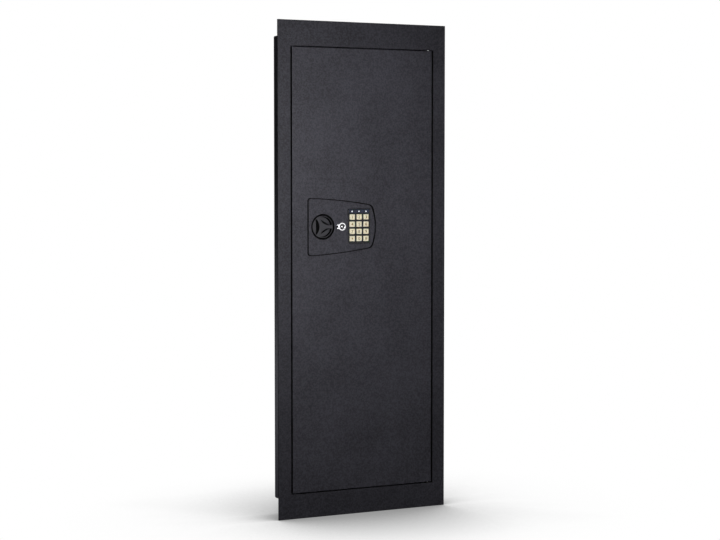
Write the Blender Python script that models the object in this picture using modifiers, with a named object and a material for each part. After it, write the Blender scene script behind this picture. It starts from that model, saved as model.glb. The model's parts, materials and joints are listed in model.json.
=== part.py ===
"""An in-wall long-gun safe with an electronic lock, as an assembly of its separate pieces.

+X is to the right seen from the front, +Y goes into the wall and +Z is up. The origin is the middle of the
flange's bottom edge. Inside this script y = 0 is the flange's front face and z = 0 lies a little above its
bottom edge. One empty shifts the whole safe by half the flange's thickness and lifts it onto that edge.
"""

import math

import bmesh
import bpy
from mathutils import Vector

MM = 0.001
GAP = 0.3 * MM
PAST = 1 * MM  # how far a cutter runs past the face it cuts

# Trim flange and cabinet
FLANGE_WIDTH = 406 * MM
FLANGE_BOTTOM = -2.4 * MM
FLANGE_TOP = 1069 * MM
FLANGE_THICKNESS = 2.5 * MM
BODY_WIDTH = 354 * MM
BODY_BACK = 81.5 * MM
BODY_BOTTOM = 32 * MM
BODY_TOP = 1039.5 * MM
BODY_WALL = 1.5 * MM
STUD_HOLE_RADIUS = 4 * MM
STUD_HOLE_HEIGHTS = (250 * MM, 820 * MM)
STUD_HOLE_Y = 40 * MM

# Door
DOOR_LEFT = -169.6 * MM
DOOR_RIGHT = 169.9 * MM
DOOR_BOTTOM = 53 * MM
DOOR_TOP = 1012.4 * MM
DOOR_SIDE_SEAM = 3.1 * MM
DOOR_END_SEAM = 1.8 * MM
DOOR_WALL = 2 * MM
DOOR_LIP = 12 * MM

# Hinge
HINGE_X = 163 * MM
HINGE_Y = 6 * MM
HINGE_PIN_RADIUS = 2.5 * MM
HINGE_PIN_OUT = 9 * MM
HINGE_PIN_IN = 12 * MM
LUG_LEFT = 150.5 * MM
LUG_BACK = 17 * MM
LUG_CLEARANCE = 2.5 * MM
LUG_THICKNESS = 5 * MM
PIVOT_LEFT = 155 * MM
PIVOT_BACK = 10 * MM
PIVOT_LENGTH = 12 * MM

# Interior
LINER_THICKNESS = 2.5 * MM
LINER_BOTTOM = 48 * MM
PAD_FRONT = 38 * MM
PAD_TOP = 46 * MM
REST_BOTTOM = 852 * MM
REST_TOP = 876 * MM
REST_DEPTH = 23.4 * MM
REST_END_GAP = 6 * MM
REST_NOTCHES = 5
REST_NOTCH_PITCH = 62 * MM
REST_NOTCH_RADIUS = 15 * MM

# Strips behind the flange: the bolts lock behind the left one
STRIKE_FRONT = 13 * MM
STRIKE_BACK = 15 * MM
STRIKE_INNER_X = -157 * MM
HINGE_JAMB_FRONT = 18 * MM
HINGE_JAMB_BACK = 20 * MM
HINGE_JAMB_INNER_X = 160 * MM

# Lock panel and its controls
LOCK_Z = 627.5 * MM
PANEL_LEFT = -131 * MM
PANEL_RIGHT = 18.9 * MM
PANEL_HALF_LEFT = 61.1 * MM
PANEL_HALF_RIGHT = 45.5 * MM
PANEL_BULGE = 9.5 * MM
PANEL_CROWN = 2.8 * MM
PANEL_GROOVE = 1 * MM
PANEL_RIM = 4 * MM
PANEL_BACK = 4.3 * MM
KNOB_X = -97 * MM
KNOB_RADIUS = 26 * MM
KNOB_WELL_RADIUS = 27 * MM
KNOB_CUP_RADIUS = 29 * MM
KNOB_CUP_BACK = 12.5 * MM
SCOOP_RIM = 24.6 * MM
SCOOP_HUB = 8.6 * MM
SCOOP_HALF_TURN = 47
SCOOP_TURNS = (60, 180, 300)
SCOOP_DEPTH = 4.9 * MM
KNOB_FACE = 1.6 * MM
KNOB_BACK = 10.2 * MM
KEYLOCK_X = -51.4 * MM
KEYLOCK_RADIUS = 8 * MM
KEYLOCK_COLLAR = 8.8 * MM
KEYLOCK_PROUD = 1.2 * MM
EAR_LENGTH = 12.2 * MM
EAR_ROOT = 7 * MM
EAR_HALF_HEIGHT = 5.2 * MM
FORK_DEPTH = 3 * MM
FORK_HALF_HEIGHT = 2.1 * MM
PLUG_RADIUS = 5.6 * MM
PLUG_PROUD = 0.6 * MM
PLUG_BACK = 23.2 * MM
KEYWAY_INNER = 2.2 * MM
KEYWAY_OUTER = 4.7 * MM
KEYWAY_DEPTH = 4.6 * MM
CAM_BACK = 26 * MM
CAM_RADIUS = 8 * MM
CAM_LOBE_REACH = 10.5 * MM
CAM_LOBE_RADIUS = 3.5 * MM
KEYPAD_X = -10.1 * MM
KEYPAD_WIDTH = 53.6 * MM
KEYPAD_BOTTOM = 590.5 * MM
KEYPAD_TOP = 665.9 * MM
KEY_WIDTH = 12.4 * MM
KEY_HEIGHT = 11.7 * MM
KEY_PITCH_X = 16.7 * MM
KEY_PITCH_Z = 15.67 * MM
KEY_TOP_ROW_Z = 648 * MM
LED_Z = 660.3 * MM
LED_RADIUS = 1.5 * MM
LED_PROUD = 0.5 * MM
LED_BACK = 3 * MM
KEYPAD_PROUD = 0.4 * MM
KEYPAD_BACK = 5 * MM
KEY_PROUD = 1.3 * MM
KEY_BACK = 5.2 * MM
WINDOW_HALF_WIDTH = 24.5 * MM
WINDOW_HALF_HEIGHT = 4.1 * MM
WINDOW_PROUD = 0.2 * MM
WINDOW_BACK = 1.5 * MM
BOARD_FRONT = 6.6 * MM
BOARD_BACK = 8.2 * MM

# Bolt work
BOLT_Y = 22.5 * MM
BOLT_RADIUS = 6 * MM
BOLT_TIP = -154.5 * MM
BOLT_HEIGHTS = {"top": 880 * MM, "middle": 530 * MM, "bottom": 250 * MM}
CARRIAGE_FRONT = 18.5 * MM
CARRIAGE_BACK = 21.5 * MM
BOLT_NECK_RADIUS = 4 * MM
BOLT_HEAD_LENGTH = 3.7 * MM
BAR_LEFT = -131 * MM
BAR_RIGHT = -113 * MM
BAR_BOTTOM = 235 * MM
BAR_TOP = 895 * MM
LIP_LEFT = -131.2 * MM
LIP_THICKNESS = 3 * MM
LIP_FRONT = 15.8 * MM
LIP_BACK = 30 * MM
YOKE_RIGHT = -78 * MM
YOKE_BOTTOM = 612 * MM
ARM_RIGHT = -26 * MM
ARM_BOTTOM = 648 * MM
ARM_TOP = 662 * MM
GUIDE_LEFT = -149.5 * MM
GUIDE_RIGHT = -146.5 * MM
GUIDE_FOOT_RIGHT = -133.5 * MM
GUIDE_BACK = 31 * MM
GUIDE_HALF_HEIGHT = 14 * MM
SPINDLE_RADIUS = 4 * MM
CRANK_DISC_RADIUS = 13 * MM
CRANK_DISC_FRONT = 15.3 * MM
CRANK_DISC_BACK = 18 * MM
CRANK_TURN = 45
CRANK_RADIUS = 9.9 * MM
CRANK_PIN_RADIUS = 2.5 * MM
CRANK_SLOT_BOTTOM = 631.9 * MM
CRANK_SLOT_TOP = 641 * MM
BOLT_THROW = 14 * MM
NOTCH_WIDTH = 9.2 * MM
NOTCH_BOTTOM = 655.8 * MM
BLOCKING_PIN_X = -52.2 * MM
BLOCKING_PIN_Y = 20 * MM
BLOCKING_PIN_RADIUS = 4 * MM
BLOCKING_PIN_LOW = 662.6 * MM
BLOCKING_PIN_TOP = 706 * MM
PIN_COLLAR_RADIUS = 6.3 * MM
PIN_COLLAR_LOW = 671 * MM
PIN_COLLAR_HIGH = 674 * MM
PIN_BRIDGE_BACK = 29.5 * MM
PIN_TAB_FRONT = 23.7 * MM
PIN_TAB_BACK = 25.8 * MM
PIN_TAB_LOW = 642.5 * MM
SPRING_RADIUS = 5.2 * MM
SPRING_WIRE_RADIUS = 0.45 * MM
SPRING_TURNS = 4
SPRING_POINTS_A_TURN = 12
SOLENOID_HALF = 10 * MM
SOLENOID_HALF_DEPTH = 9.8 * MM
SOLENOID_WALL = 1.8 * MM
SOLENOID_BOTTOM = 684 * MM
SOLENOID_TOP = 714 * MM
WINDING_RADIUS = 7.5 * MM

# Mechanism plate and cover
PLATE_FRONT = 12.8 * MM
PLATE_BACK = 14.8 * MM
COVER_LEFT = -112.4 * MM
COVER_RIGHT = 75 * MM
COVER_BOTTOM = 480 * MM
COVER_TOP = 780 * MM
COVER_BACK = 33 * MM
COVER_WALL = 1.5 * MM
COVER_SCREW_X = -16 * MM
COVER_SCREW_HEIGHTS = (492 * MM, 768 * MM)
COVER_SCREW_RADIUS = 2 * MM
COVER_SCREW_HEAD = 4 * MM
COVER_SEAT = 1.8 * MM
RESET_PLACE = (-20 * MM, 0, 540 * MM)
RESET_RADIUS = 3.2 * MM
RESET_HEAD_RADIUS = 4.6 * MM
RESET_FRONT = 24 * MM
RESET_HEAD_BACK = 26 * MM
RESET_BACK = 34.7 * MM
ARM_OPENING = (608 * MM, 666 * MM)

# Batteries
BATTERY_RADIUS = 7.25 * MM
BATTERY_LENGTH = 50.5 * MM
BATTERY_X = 37 * MM
BATTERY_LOW_Z = 514.6 * MM
BATTERY_PITCH = 15 * MM
BATTERY_Y = 24.2 * MM
BATTERY_COUNT = 4
TERMINAL_RADIUS = 2.7 * MM
BATTERY_CASE_WIDTH = 58 * MM
BATTERY_CASE_BACK = 31 * MM
BATTERY_OPENING = (506 * MM, 568 * MM)
BATTERY_OPENING_WIDTH = 54 * MM
LID_LEFT = 7 * MM
LID_RIGHT = 63 * MM
LID_BOTTOM = 503 * MM
LID_TOP = 571 * MM
LID_THICKNESS = 1.6 * MM
RIDGE_COUNT = 3
RIDGE_LEFT = 15 * MM
RIDGE_PITCH = 3 * MM
RIDGE_LENGTH = 20 * MM
RIDGE_HEIGHT = 2.4 * MM


def clear_scene():
    for thing in list(bpy.data.objects):
        bpy.data.objects.remove(thing, do_unlink=True)


def new_collection(name):
    made = bpy.data.collections.new(name)
    bpy.context.scene.collection.children.link(made)
    return made


clear_scene()
SAFE = new_collection("gun_safe")
CUTTERS = new_collection("cutters")
CUTTERS.hide_render = True


# ------------------------------------------------------------------ materials

def material(name, colour, roughness, metallic):
    made = bpy.data.materials.new(name)
    made.use_nodes = True
    shader = made.node_tree.nodes["Principled BSDF"]
    shader.inputs["Base Color"].default_value = (*colour, 1.0)
    shader.inputs["Roughness"].default_value = roughness
    shader.inputs["Metallic"].default_value = metallic
    return made


POWDER_COAT = material("powder_coat", (0.035, 0.034, 0.04), 0.55, 0.0)
BLACK_PLASTIC = material("black_plastic", (0.02, 0.02, 0.022), 0.4, 0.0)
CREAM_PLASTIC = material("cream_plastic", (0.83, 0.76, 0.55), 0.45, 0.0)
NAVY_WINDOW = material("navy_window", (0.01, 0.015, 0.05), 0.15, 0.0)
LED_WHITE = material("led_white", (0.85, 0.88, 0.95), 0.2, 0.0)
CHROME = material("chrome", (0.8, 0.8, 0.82), 0.12, 1.0)
ZINC_STEEL = material("zinc_steel", (0.55, 0.55, 0.56), 0.35, 1.0)
COPPER = material("copper_winding", (0.6, 0.25, 0.1), 0.4, 1.0)
CARPET = material("carpet", (0.06, 0.06, 0.065), 0.95, 0.0)
FOAM = material("foam", (0.04, 0.04, 0.043), 0.9, 0.0)
BOARD = material("circuit_board", (0.03, 0.2, 0.08), 0.5, 0.0)
BATTERY = material("battery_jacket", (0.1, 0.1, 0.11), 0.35, 0.3)
RED_PLASTIC = material("red_plastic", (0.5, 0.03, 0.02), 0.4, 0.0)


# ------------------------------------------------------- placing and shaping

def put(thing, place, parent):
    """Places a thing at a point measured from the flange's front face, under a parent that only shifts."""
    origin = Vector(parent["place"]) if parent else Vector((0, 0, 0))
    thing.parent = parent
    thing.location = Vector(place) - origin
    thing["place"] = tuple(place)
    return thing


def empty(name, place, parent):
    made = bpy.data.objects.new(name, None)
    SAFE.objects.link(made)
    return put(made, place, parent)


def mesh_object(name, shape, look, place, parent, collection=SAFE):
    mesh = bpy.data.meshes.new(name)
    shape.to_mesh(mesh)
    shape.free()
    made = bpy.data.objects.new(name, mesh)
    collection.objects.link(made)
    if look:
        mesh.materials.append(look)
    return put(made, place, parent)


def middle(low, high):
    return (Vector(low) + Vector(high)) / 2


def box_shape(low, high):
    """A cube primitive stretched to the box between two corners, about the box's own middle."""
    size = Vector(high) - Vector(low)
    shape = bmesh.new()
    bmesh.ops.create_cube(shape, size=1.0)
    bmesh.ops.scale(shape, vec=size, verts=shape.verts)
    return shape


def box(name, low, high, look, parent, rounding=0.0):
    made = mesh_object(name, box_shape(low, high), look, middle(low, high), parent)
    if rounding:
        add_bevel(made, rounding)
    return made


def box_tool(low, high):
    made = mesh_object("box_tool", box_shape(low, high), None, middle(low, high), SAFE_FRAME, CUTTERS)
    made.display_type = "WIRE"
    made.hide_render = True
    return made


def add_bevel(thing, width, segments=1):
    bevel = thing.modifiers.new("rounded_edges", "BEVEL")
    bevel.width = width
    bevel.segments = segments
    bevel.limit_method = "ANGLE"
    bevel.angle_limit = math.radians(50)


def add_boolean(thing, tools, operation):
    for tool in tools:
        step = thing.modifiers.new(tool.name, "BOOLEAN")
        step.operation = operation
        step.solver = "EXACT"
        step.object = tool


def cut(thing, *tools):
    add_boolean(thing, tools, "DIFFERENCE")


def join(thing, *tools):
    add_boolean(thing, tools, "UNION")


TURN_TO_AXIS = {
    "X": (0, math.radians(90), 0),
    "Y": (math.radians(-90), 0, 0),
    "Z": (0, 0, 0),
}


def rod_tool(centre, axis, radius, start, end, sides=32):
    """A cylinder cutter along an axis, from start to end on that axis."""
    shape = bmesh.new()
    bmesh.ops.create_cone(
        shape, cap_ends=True, segments=sides, radius1=radius, radius2=radius, depth=end - start
    )
    place = Vector(centre)
    place["XYZ".index(axis)] = (start + end) / 2
    made = mesh_object("rod_tool", shape, None, place, SAFE_FRAME, CUTTERS)
    made.rotation_euler = TURN_TO_AXIS[axis]
    made.display_type = "WIRE"
    made.hide_render = True
    return made


def turned(name, profile, centre, axis, look, parent, sides=32):
    """A turned piece. The profile lists (radius, distance along the axis) from the low end to the high end; a
    profile that doesn't start on the axis is a closed ring, its inner side listed last."""
    shape = bmesh.new()
    points = [shape.verts.new((radius, 0, along)) for radius, along in profile]
    for first, second in zip(points, points[1:]):
        shape.edges.new((first, second))
    if profile[0][0] > 0:
        shape.edges.new((points[-1], points[0]))
    place = Vector(centre)
    place["XYZ".index(axis)] = 0
    made = mesh_object(name, shape, look, place, parent)
    made.rotation_euler = TURN_TO_AXIS[axis]
    screw = made.modifiers.new("turned", "SCREW")
    screw.steps = sides
    screw.render_steps = sides
    screw.use_merge_vertices = True
    screw.merge_threshold = 0.00001
    screw.use_normal_flip = True
    return made


def disc_profile(radius, start, end, chamfer=0.0):
    if not chamfer:
        return [(0, start), (radius, start), (radius, end), (0, end)]
    return [
        (0, start),
        (radius - chamfer, start),
        (radius, start + chamfer),
        (radius, end - chamfer),
        (radius - chamfer, end),
        (0, end),
    ]


def arc_points(centre, radius, start, end, steps):
    """Points on a circular arc, angles in degrees from +X towards +Z."""
    turns = [math.radians(start + (end - start) * step / steps) for step in range(steps + 1)]
    return [(centre[0] + radius * math.cos(a), centre[1] + radius * math.sin(a)) for a in turns]


def bowed_edge(start, end, bow, steps):
    """Points from start to just before end on an arc that bows to the right, or left if bow is negative."""
    start, end = Vector(start), Vector(end)
    along = end - start
    half = along.length / 2
    side = Vector((along.y, -along.x)).normalized() * math.copysign(1, bow)
    bow = abs(bow)
    radius = (half * half + bow * bow) / (2 * bow)
    centre = (start + end) / 2 - side * (radius - bow)
    sweep = math.asin(half / radius)
    ahead = along.normalized()
    points = []
    for step in range(steps):
        turn = -sweep + 2 * sweep * step / steps
        points.append(tuple(centre + side * radius * math.cos(turn) + ahead * radius * math.sin(turn)))
    return points


def plate(name, outlines, front, back, look, parent, collection=SAFE):
    """A flat plate standing in the XZ plane: the first outline is its edge and any others are its holes."""
    curve = bpy.data.curves.new(name, "CURVE")
    curve.dimensions = "2D"
    curve.fill_mode = "BOTH"
    curve.extrude = (back - front) / 2
    for outline in outlines:
        spline = curve.splines.new("POLY")
        spline.points.add(len(outline) - 1)
        spline.use_cyclic_u = True
        for point, (x, z) in zip(spline.points, outline):
            point.co = (x, z, 0, 1)
    drawn = bpy.data.objects.new(name + "_outline", curve)
    SAFE.objects.link(drawn)
    mesh = bpy.data.meshes.new_from_object(drawn.evaluated_get(bpy.context.evaluated_depsgraph_get()))
    bpy.data.objects.remove(drawn, do_unlink=True)
    shape = bmesh.new()
    shape.from_mesh(mesh)
    bpy.data.meshes.remove(mesh)
    bmesh.ops.remove_doubles(shape, verts=shape.verts, dist=0.000005)
    bmesh.ops.recalc_face_normals(shape, faces=shape.faces)
    made = mesh_object(name, shape, look, (0, (front + back) / 2, 0), parent, collection)
    made.rotation_euler = (math.radians(90), 0, 0)
    return made


def plate_tool(outline, front, back):
    made = plate("plate_tool", [outline], front, back, None, SAFE_FRAME, CUTTERS)
    made.display_type = "WIRE"
    made.hide_render = True
    return made


def pan(name, low, high, wall, open_side, look, parent):
    """A sheet-metal pan: the five sides of a box, open towards -Y or +Y, thickened inwards."""
    shape = box_shape(low, high)
    shape.faces.ensure_lookup_table()
    lids = [face for face in shape.faces if face.normal.y * open_side > 0.5]
    bmesh.ops.delete(shape, geom=lids, context="FACES_ONLY")
    made = mesh_object(name, shape, look, middle(low, high), parent)
    sheet = made.modifiers.new("sheet", "SOLIDIFY")
    sheet.thickness = wall
    sheet.offset = -1
    sheet.use_even_offset = True
    return made


def finish_rounds():
    """Smooth shading on everything, with the edges kept sharp where two faces meet at an angle."""
    for thing in SAFE.objects:
        if thing.type == "MESH":
            thing.data.shade_smooth()
            thing.data.set_sharp_from_angle(angle=math.radians(40))


# ------------------------------------------------------------------- cabinet

SAFE_FRAME = bpy.data.objects.new("safe_frame", None)
SAFE.objects.link(SAFE_FRAME)
SAFE_FRAME["place"] = (0, 0, 0)
SAFE_FRAME.location = (0, -FLANGE_THICKNESS / 2, -FLANGE_BOTTOM)


def rectangle(left, right, bottom, top):
    return [(left, bottom), (right, bottom), (right, top), (left, top)]


def make_flange():
    """The trim flange. A shallow step in its back takes the cabinet's front edge."""
    edge = rectangle(-FLANGE_WIDTH / 2, FLANGE_WIDTH / 2, FLANGE_BOTTOM, FLANGE_TOP)
    opening = rectangle(
        DOOR_LEFT - DOOR_SIDE_SEAM,
        DOOR_RIGHT + DOOR_SIDE_SEAM,
        DOOR_BOTTOM - DOOR_END_SEAM,
        DOOR_TOP + DOOR_END_SEAM,
    )
    flange = plate("front_flange", [edge, opening], 0, FLANGE_THICKNESS, POWDER_COAT, SAFE_FRAME)
    add_bevel(flange, 0.5 * MM, 2)
    step = BODY_WIDTH / 2 + 0.4 * MM
    seat = box_tool(
        (-step, FLANGE_THICKNESS - GAP, BODY_BOTTOM - 0.4 * MM),
        (step, FLANGE_THICKNESS + 1 * MM, BODY_TOP + 0.4 * MM),
    )
    cut(flange, seat)


def make_body_shell():
    """The folded cabinet, with two holes in each side for the screws into the studs."""
    half = BODY_WIDTH / 2
    shell = pan(
        "body_shell",
        (-half, FLANGE_THICKNESS, BODY_BOTTOM),
        (half, BODY_BACK, BODY_TOP),
        BODY_WALL,
        -1,
        POWDER_COAT,
        SAFE_FRAME,
    )
    for height in STUD_HOLE_HEIGHTS:
        for side in (-1, 1):
            centre = (0, STUD_HOLE_Y, height)
            inner, outer = sorted((side * (half - 3 * MM), side * (half + 2 * MM)))
            cut(shell, rod_tool(centre, "X", STUD_HOLE_RADIUS, inner, outer, 24))


def make_jambs():
    """Two upright strips: the bolts lock behind the left one, and the right one backs the hinge side."""
    inside = BODY_WIDTH / 2 - BODY_WALL - GAP
    box(
        "strike_jamb",
        (-inside, STRIKE_FRONT, BODY_BOTTOM + BODY_WALL + GAP),
        (STRIKE_INNER_X, STRIKE_BACK, BODY_TOP - BODY_WALL - GAP),
        POWDER_COAT,
        SAFE_FRAME,
    )
    box(
        "hinge_side_jamb",
        (HINGE_JAMB_INNER_X, HINGE_JAMB_FRONT, BODY_BOTTOM + BODY_WALL + GAP),
        (inside, HINGE_JAMB_BACK, BODY_TOP - BODY_WALL - GAP),
        POWDER_COAT,
        SAFE_FRAME,
    )


def make_hinge_lugs():
    """The cabinet's half of each hinge: a leaf above and below the door, bored for the door's pins."""
    inside = BODY_WIDTH / 2 - BODY_WALL - GAP
    front = FLANGE_THICKNESS + 0.5 * MM
    bore = HINGE_PIN_RADIUS + 0.4 * MM
    reach = LUG_CLEARANCE + LUG_THICKNESS
    for end, low, high in (
        ("bottom", DOOR_BOTTOM - reach, DOOR_BOTTOM - LUG_CLEARANCE),
        ("top", DOOR_TOP + LUG_CLEARANCE, DOOR_TOP + reach),
    ):
        lug = box(f"hinge_lug_{end}", (LUG_LEFT, front, low), (inside, LUG_BACK, high), ZINC_STEEL, SAFE_FRAME)
        cut(lug, rod_tool((HINGE_X, HINGE_Y, 0), "Z", bore, low - PAST, high + PAST, 24))


def make_interior():
    """Carpet on the back wall, a foam pad for the butts to stand on and a foam rack for the barrels."""
    inside = BODY_WIDTH / 2 - BODY_WALL - 1 * MM
    back = BODY_BACK - BODY_WALL - GAP
    box(
        "back_liner",
        (-inside, back - LINER_THICKNESS, LINER_BOTTOM),
        (inside, back, BODY_TOP - 4 * MM),
        CARPET,
        SAFE_FRAME,
    )
    box(
        "floor_pad",
        (-inside, PAD_FRONT, BODY_BOTTOM + BODY_WALL + GAP),
        (inside, back, PAD_TOP),
        FOAM,
        SAFE_FRAME,
        1 * MM,
    )
    rest_back = back - LINER_THICKNESS - GAP
    rest_front = rest_back - REST_DEPTH
    rest_end = inside - REST_END_GAP
    rest = box(
        "barrel_rest",
        (-rest_end, rest_front, REST_BOTTOM),
        (rest_end, rest_back, REST_TOP),
        FOAM,
        SAFE_FRAME,
        1 * MM,
    )
    for place in range(REST_NOTCHES):
        centre = ((place - (REST_NOTCHES - 1) / 2) * REST_NOTCH_PITCH, rest_front, 0)
        cut(rest, rod_tool(centre, "Z", REST_NOTCH_RADIUS, REST_BOTTOM - PAST, REST_TOP + PAST, 24))


# ---------------------------------------------------------------------- door

def lock_panel_outline(grow):
    """The D of the lock panel: a straight left side, two gently bowed edges and a bulging right side."""
    low_left = (PANEL_LEFT - grow, LOCK_Z - PANEL_HALF_LEFT - grow)
    low_right = (PANEL_RIGHT + grow, LOCK_Z - PANEL_HALF_RIGHT - grow)
    top_right = (PANEL_RIGHT + grow, LOCK_Z + PANEL_HALF_RIGHT + grow)
    top_left = (PANEL_LEFT - grow, LOCK_Z + PANEL_HALF_LEFT + grow)
    points = bowed_edge(low_left, low_right, PANEL_CROWN, 6)
    points += bowed_edge(low_right, top_right, PANEL_BULGE, 12)
    points += bowed_edge(top_right, top_left, PANEL_CROWN, 6)
    points.append(top_left)
    return points


def make_door_skin(door):
    """The door's folded pan, with the opening for the lock panel and the holes for the hinge pins."""
    skin = pan(
        "door_skin",
        (DOOR_LEFT, 0, DOOR_BOTTOM),
        (DOOR_RIGHT, DOOR_LIP, DOOR_TOP),
        DOOR_WALL,
        1,
        POWDER_COAT,
        door,
    )
    cut(skin, plate_tool(lock_panel_outline(PANEL_GROOVE), -PAST, DOOR_WALL + PAST))
    bore = HINGE_PIN_RADIUS + GAP
    for low, high in ((DOOR_BOTTOM, DOOR_BOTTOM + DOOR_WALL), (DOOR_TOP - DOOR_WALL, DOOR_TOP)):
        cut(skin, rod_tool((HINGE_X, HINGE_Y, 0), "Z", bore, low - PAST, high + PAST, 24))


def make_hinge_pins(door):
    """The door's half of each hinge: a pin held in a block inside the door's corner."""
    inner = DOOR_WALL + GAP
    for end, low, high in (
        ("bottom", DOOR_BOTTOM + inner, DOOR_BOTTOM + inner + PIVOT_LENGTH),
        ("top", DOOR_TOP - inner - PIVOT_LENGTH, DOOR_TOP - inner),
    ):
        block = box(
            f"pivot_block_{end}",
            (PIVOT_LEFT, inner, low),
            (DOOR_RIGHT - inner, PIVOT_BACK, high),
            ZINC_STEEL,
            door,
            0.5 * MM,
        )
        bore = HINGE_PIN_RADIUS + GAP
        cut(block, rod_tool((HINGE_X, HINGE_Y, 0), "Z", bore, low - PAST, high + PAST, 24))
    for end, low, high in (
        ("bottom", DOOR_BOTTOM - HINGE_PIN_OUT, DOOR_BOTTOM + HINGE_PIN_IN),
        ("top", DOOR_TOP - HINGE_PIN_IN, DOOR_TOP + HINGE_PIN_OUT),
    ):
        profile = disc_profile(HINGE_PIN_RADIUS, low, high, 0.6 * MM)
        turned(f"hinge_pin_{end}", profile, (HINGE_X, HINGE_Y, 0), "Z", ZINC_STEEL, door, 24)


def make_mechanism_plate(door):
    """The plate that carries the bolt drive, on two folded legs, open where the solenoid hangs."""
    left, right = COVER_LEFT + COVER_SEAT, COVER_RIGHT - COVER_SEAT
    bottom, top = COVER_BOTTOM + COVER_SEAT, COVER_TOP - COVER_SEAT
    steel = box(
        "mechanism_plate",
        (left, PLATE_FRONT, bottom),
        (right, PLATE_BACK, top),
        ZINC_STEEL,
        door,
    )
    leg_front = DOOR_WALL + GAP
    leg = PLATE_BACK - PLATE_FRONT
    for low, high in ((bottom, bottom + leg), (top - leg, top)):
        join(steel, box_tool((left, leg_front, low), (right, PLATE_FRONT + PAST, high)))
    front, back = PLATE_FRONT - PAST, PLATE_BACK + PAST
    window = SOLENOID_HALF + 1 * MM
    cut(
        steel,
        rod_tool((KNOB_X, 0, LOCK_Z), "Y", SPINDLE_RADIUS + 0.5 * MM, front, back, 24),
        rod_tool((KEYLOCK_X, 0, LOCK_Z), "Y", PLUG_RADIUS + 0.8 * MM, front, back, 24),
        box_tool(
            (BLOCKING_PIN_X - window, front, BLOCKING_PIN_LOW - 2.6 * MM),
            (BLOCKING_PIN_X + window, back, SOLENOID_TOP + 0.8 * MM),
        ),
    )


def make_mechanism_cover(door):
    """The plastic cover, open for the carriage's arm, the batteries, the reset button and its two screws."""
    cover = pan(
        "mechanism_cover",
        (COVER_LEFT, PLATE_FRONT - 0.2 * MM, COVER_BOTTOM),
        (COVER_RIGHT, COVER_BACK, COVER_TOP),
        COVER_WALL,
        -1,
        BLACK_PLASTIC,
        door,
    )
    front, back = COVER_BACK - COVER_WALL - PAST, COVER_BACK + PAST
    arm_low, arm_high = ARM_OPENING
    half = BATTERY_OPENING_WIDTH / 2
    battery_low, battery_high = BATTERY_OPENING
    arm_play = 1.5 * MM
    cut(
        cover,
        box_tool(
            (COVER_LEFT - PAST, CARRIAGE_FRONT - arm_play, arm_low),
            (COVER_LEFT + COVER_WALL + PAST, CARRIAGE_BACK + arm_play, arm_high),
        ),
        box_tool((BATTERY_X - half, front, battery_low), (BATTERY_X + half, back, battery_high)),
        rod_tool(RESET_PLACE, "Y", RESET_RADIUS + 0.4 * MM, front, back, 24),
    )
    for height in COVER_SCREW_HEIGHTS:
        cut(cover, rod_tool((COVER_SCREW_X, 0, height), "Y", COVER_SCREW_RADIUS + 0.5 * MM, front, back, 20))


def make_cover_screws(door):
    head = COVER_BACK + GAP
    for count, height in enumerate(COVER_SCREW_HEIGHTS, 1):
        profile = [
            (0, PLATE_BACK + GAP),
            (COVER_SCREW_RADIUS, PLATE_BACK + GAP),
            (COVER_SCREW_RADIUS, head),
            (COVER_SCREW_HEAD, head),
            (COVER_SCREW_HEAD, head + 1.2 * MM),
            (COVER_SCREW_HEAD - 1 * MM, head + 2 * MM),
            (0, head + 2 * MM),
        ]
        turned(f"cover_screw_{count}", profile, (COVER_SCREW_X, 0, height), "Y", ZINC_STEEL, door, 20)


def make_lock_panel(door):
    """The panel with the cup behind the dial, a rim behind the door's skin and holes for lock and keypad."""
    panel = plate("lock_panel", [lock_panel_outline(0)], 0, PANEL_BACK, POWDER_COAT, door)
    rim = plate_tool(lock_panel_outline(PANEL_RIM), DOOR_WALL + GAP, PANEL_BACK + GAP)
    knob_centre, lock_centre = (KNOB_X, 0, LOCK_Z), (KEYLOCK_X, 0, LOCK_Z)
    floor = KNOB_CUP_BACK - 2 * MM
    past_back = PANEL_BACK + 3 * PAST
    cup = rod_tool(knob_centre, "Y", KNOB_CUP_RADIUS, DOOR_WALL, KNOB_CUP_BACK, 48)
    well = rod_tool(knob_centre, "Y", KNOB_WELL_RADIUS, -PAST, floor, 48)
    spindle_bore = SPINDLE_RADIUS + 0.6 * MM
    spindle_hole = rod_tool(knob_centre, "Y", spindle_bore, floor - PAST, KNOB_CUP_BACK + PAST, 24)
    lock_hole = rod_tool(lock_centre, "Y", KEYLOCK_RADIUS + GAP, -PAST, past_back, 32)
    half = KEYPAD_WIDTH / 2 + GAP
    keypad_hole = box_tool(
        (KEYPAD_X - half, -PAST, KEYPAD_BOTTOM - GAP), (KEYPAD_X + half, past_back, KEYPAD_TOP + GAP)
    )
    join(panel, rim, cup)
    cut(panel, well, spindle_hole, lock_hole, keypad_hole)


def key_places():
    """Each key's name with the place of its middle, row by row from the top left."""
    names = ("1", "2", "3", "4", "5", "6", "7", "8", "9", "star", "0", "hash")
    for count, name in enumerate(names):
        row, column = divmod(count, 3)
        yield name, KEYPAD_X + (column - 1) * KEY_PITCH_X, KEY_TOP_ROW_Z - row * KEY_PITCH_Z


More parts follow.
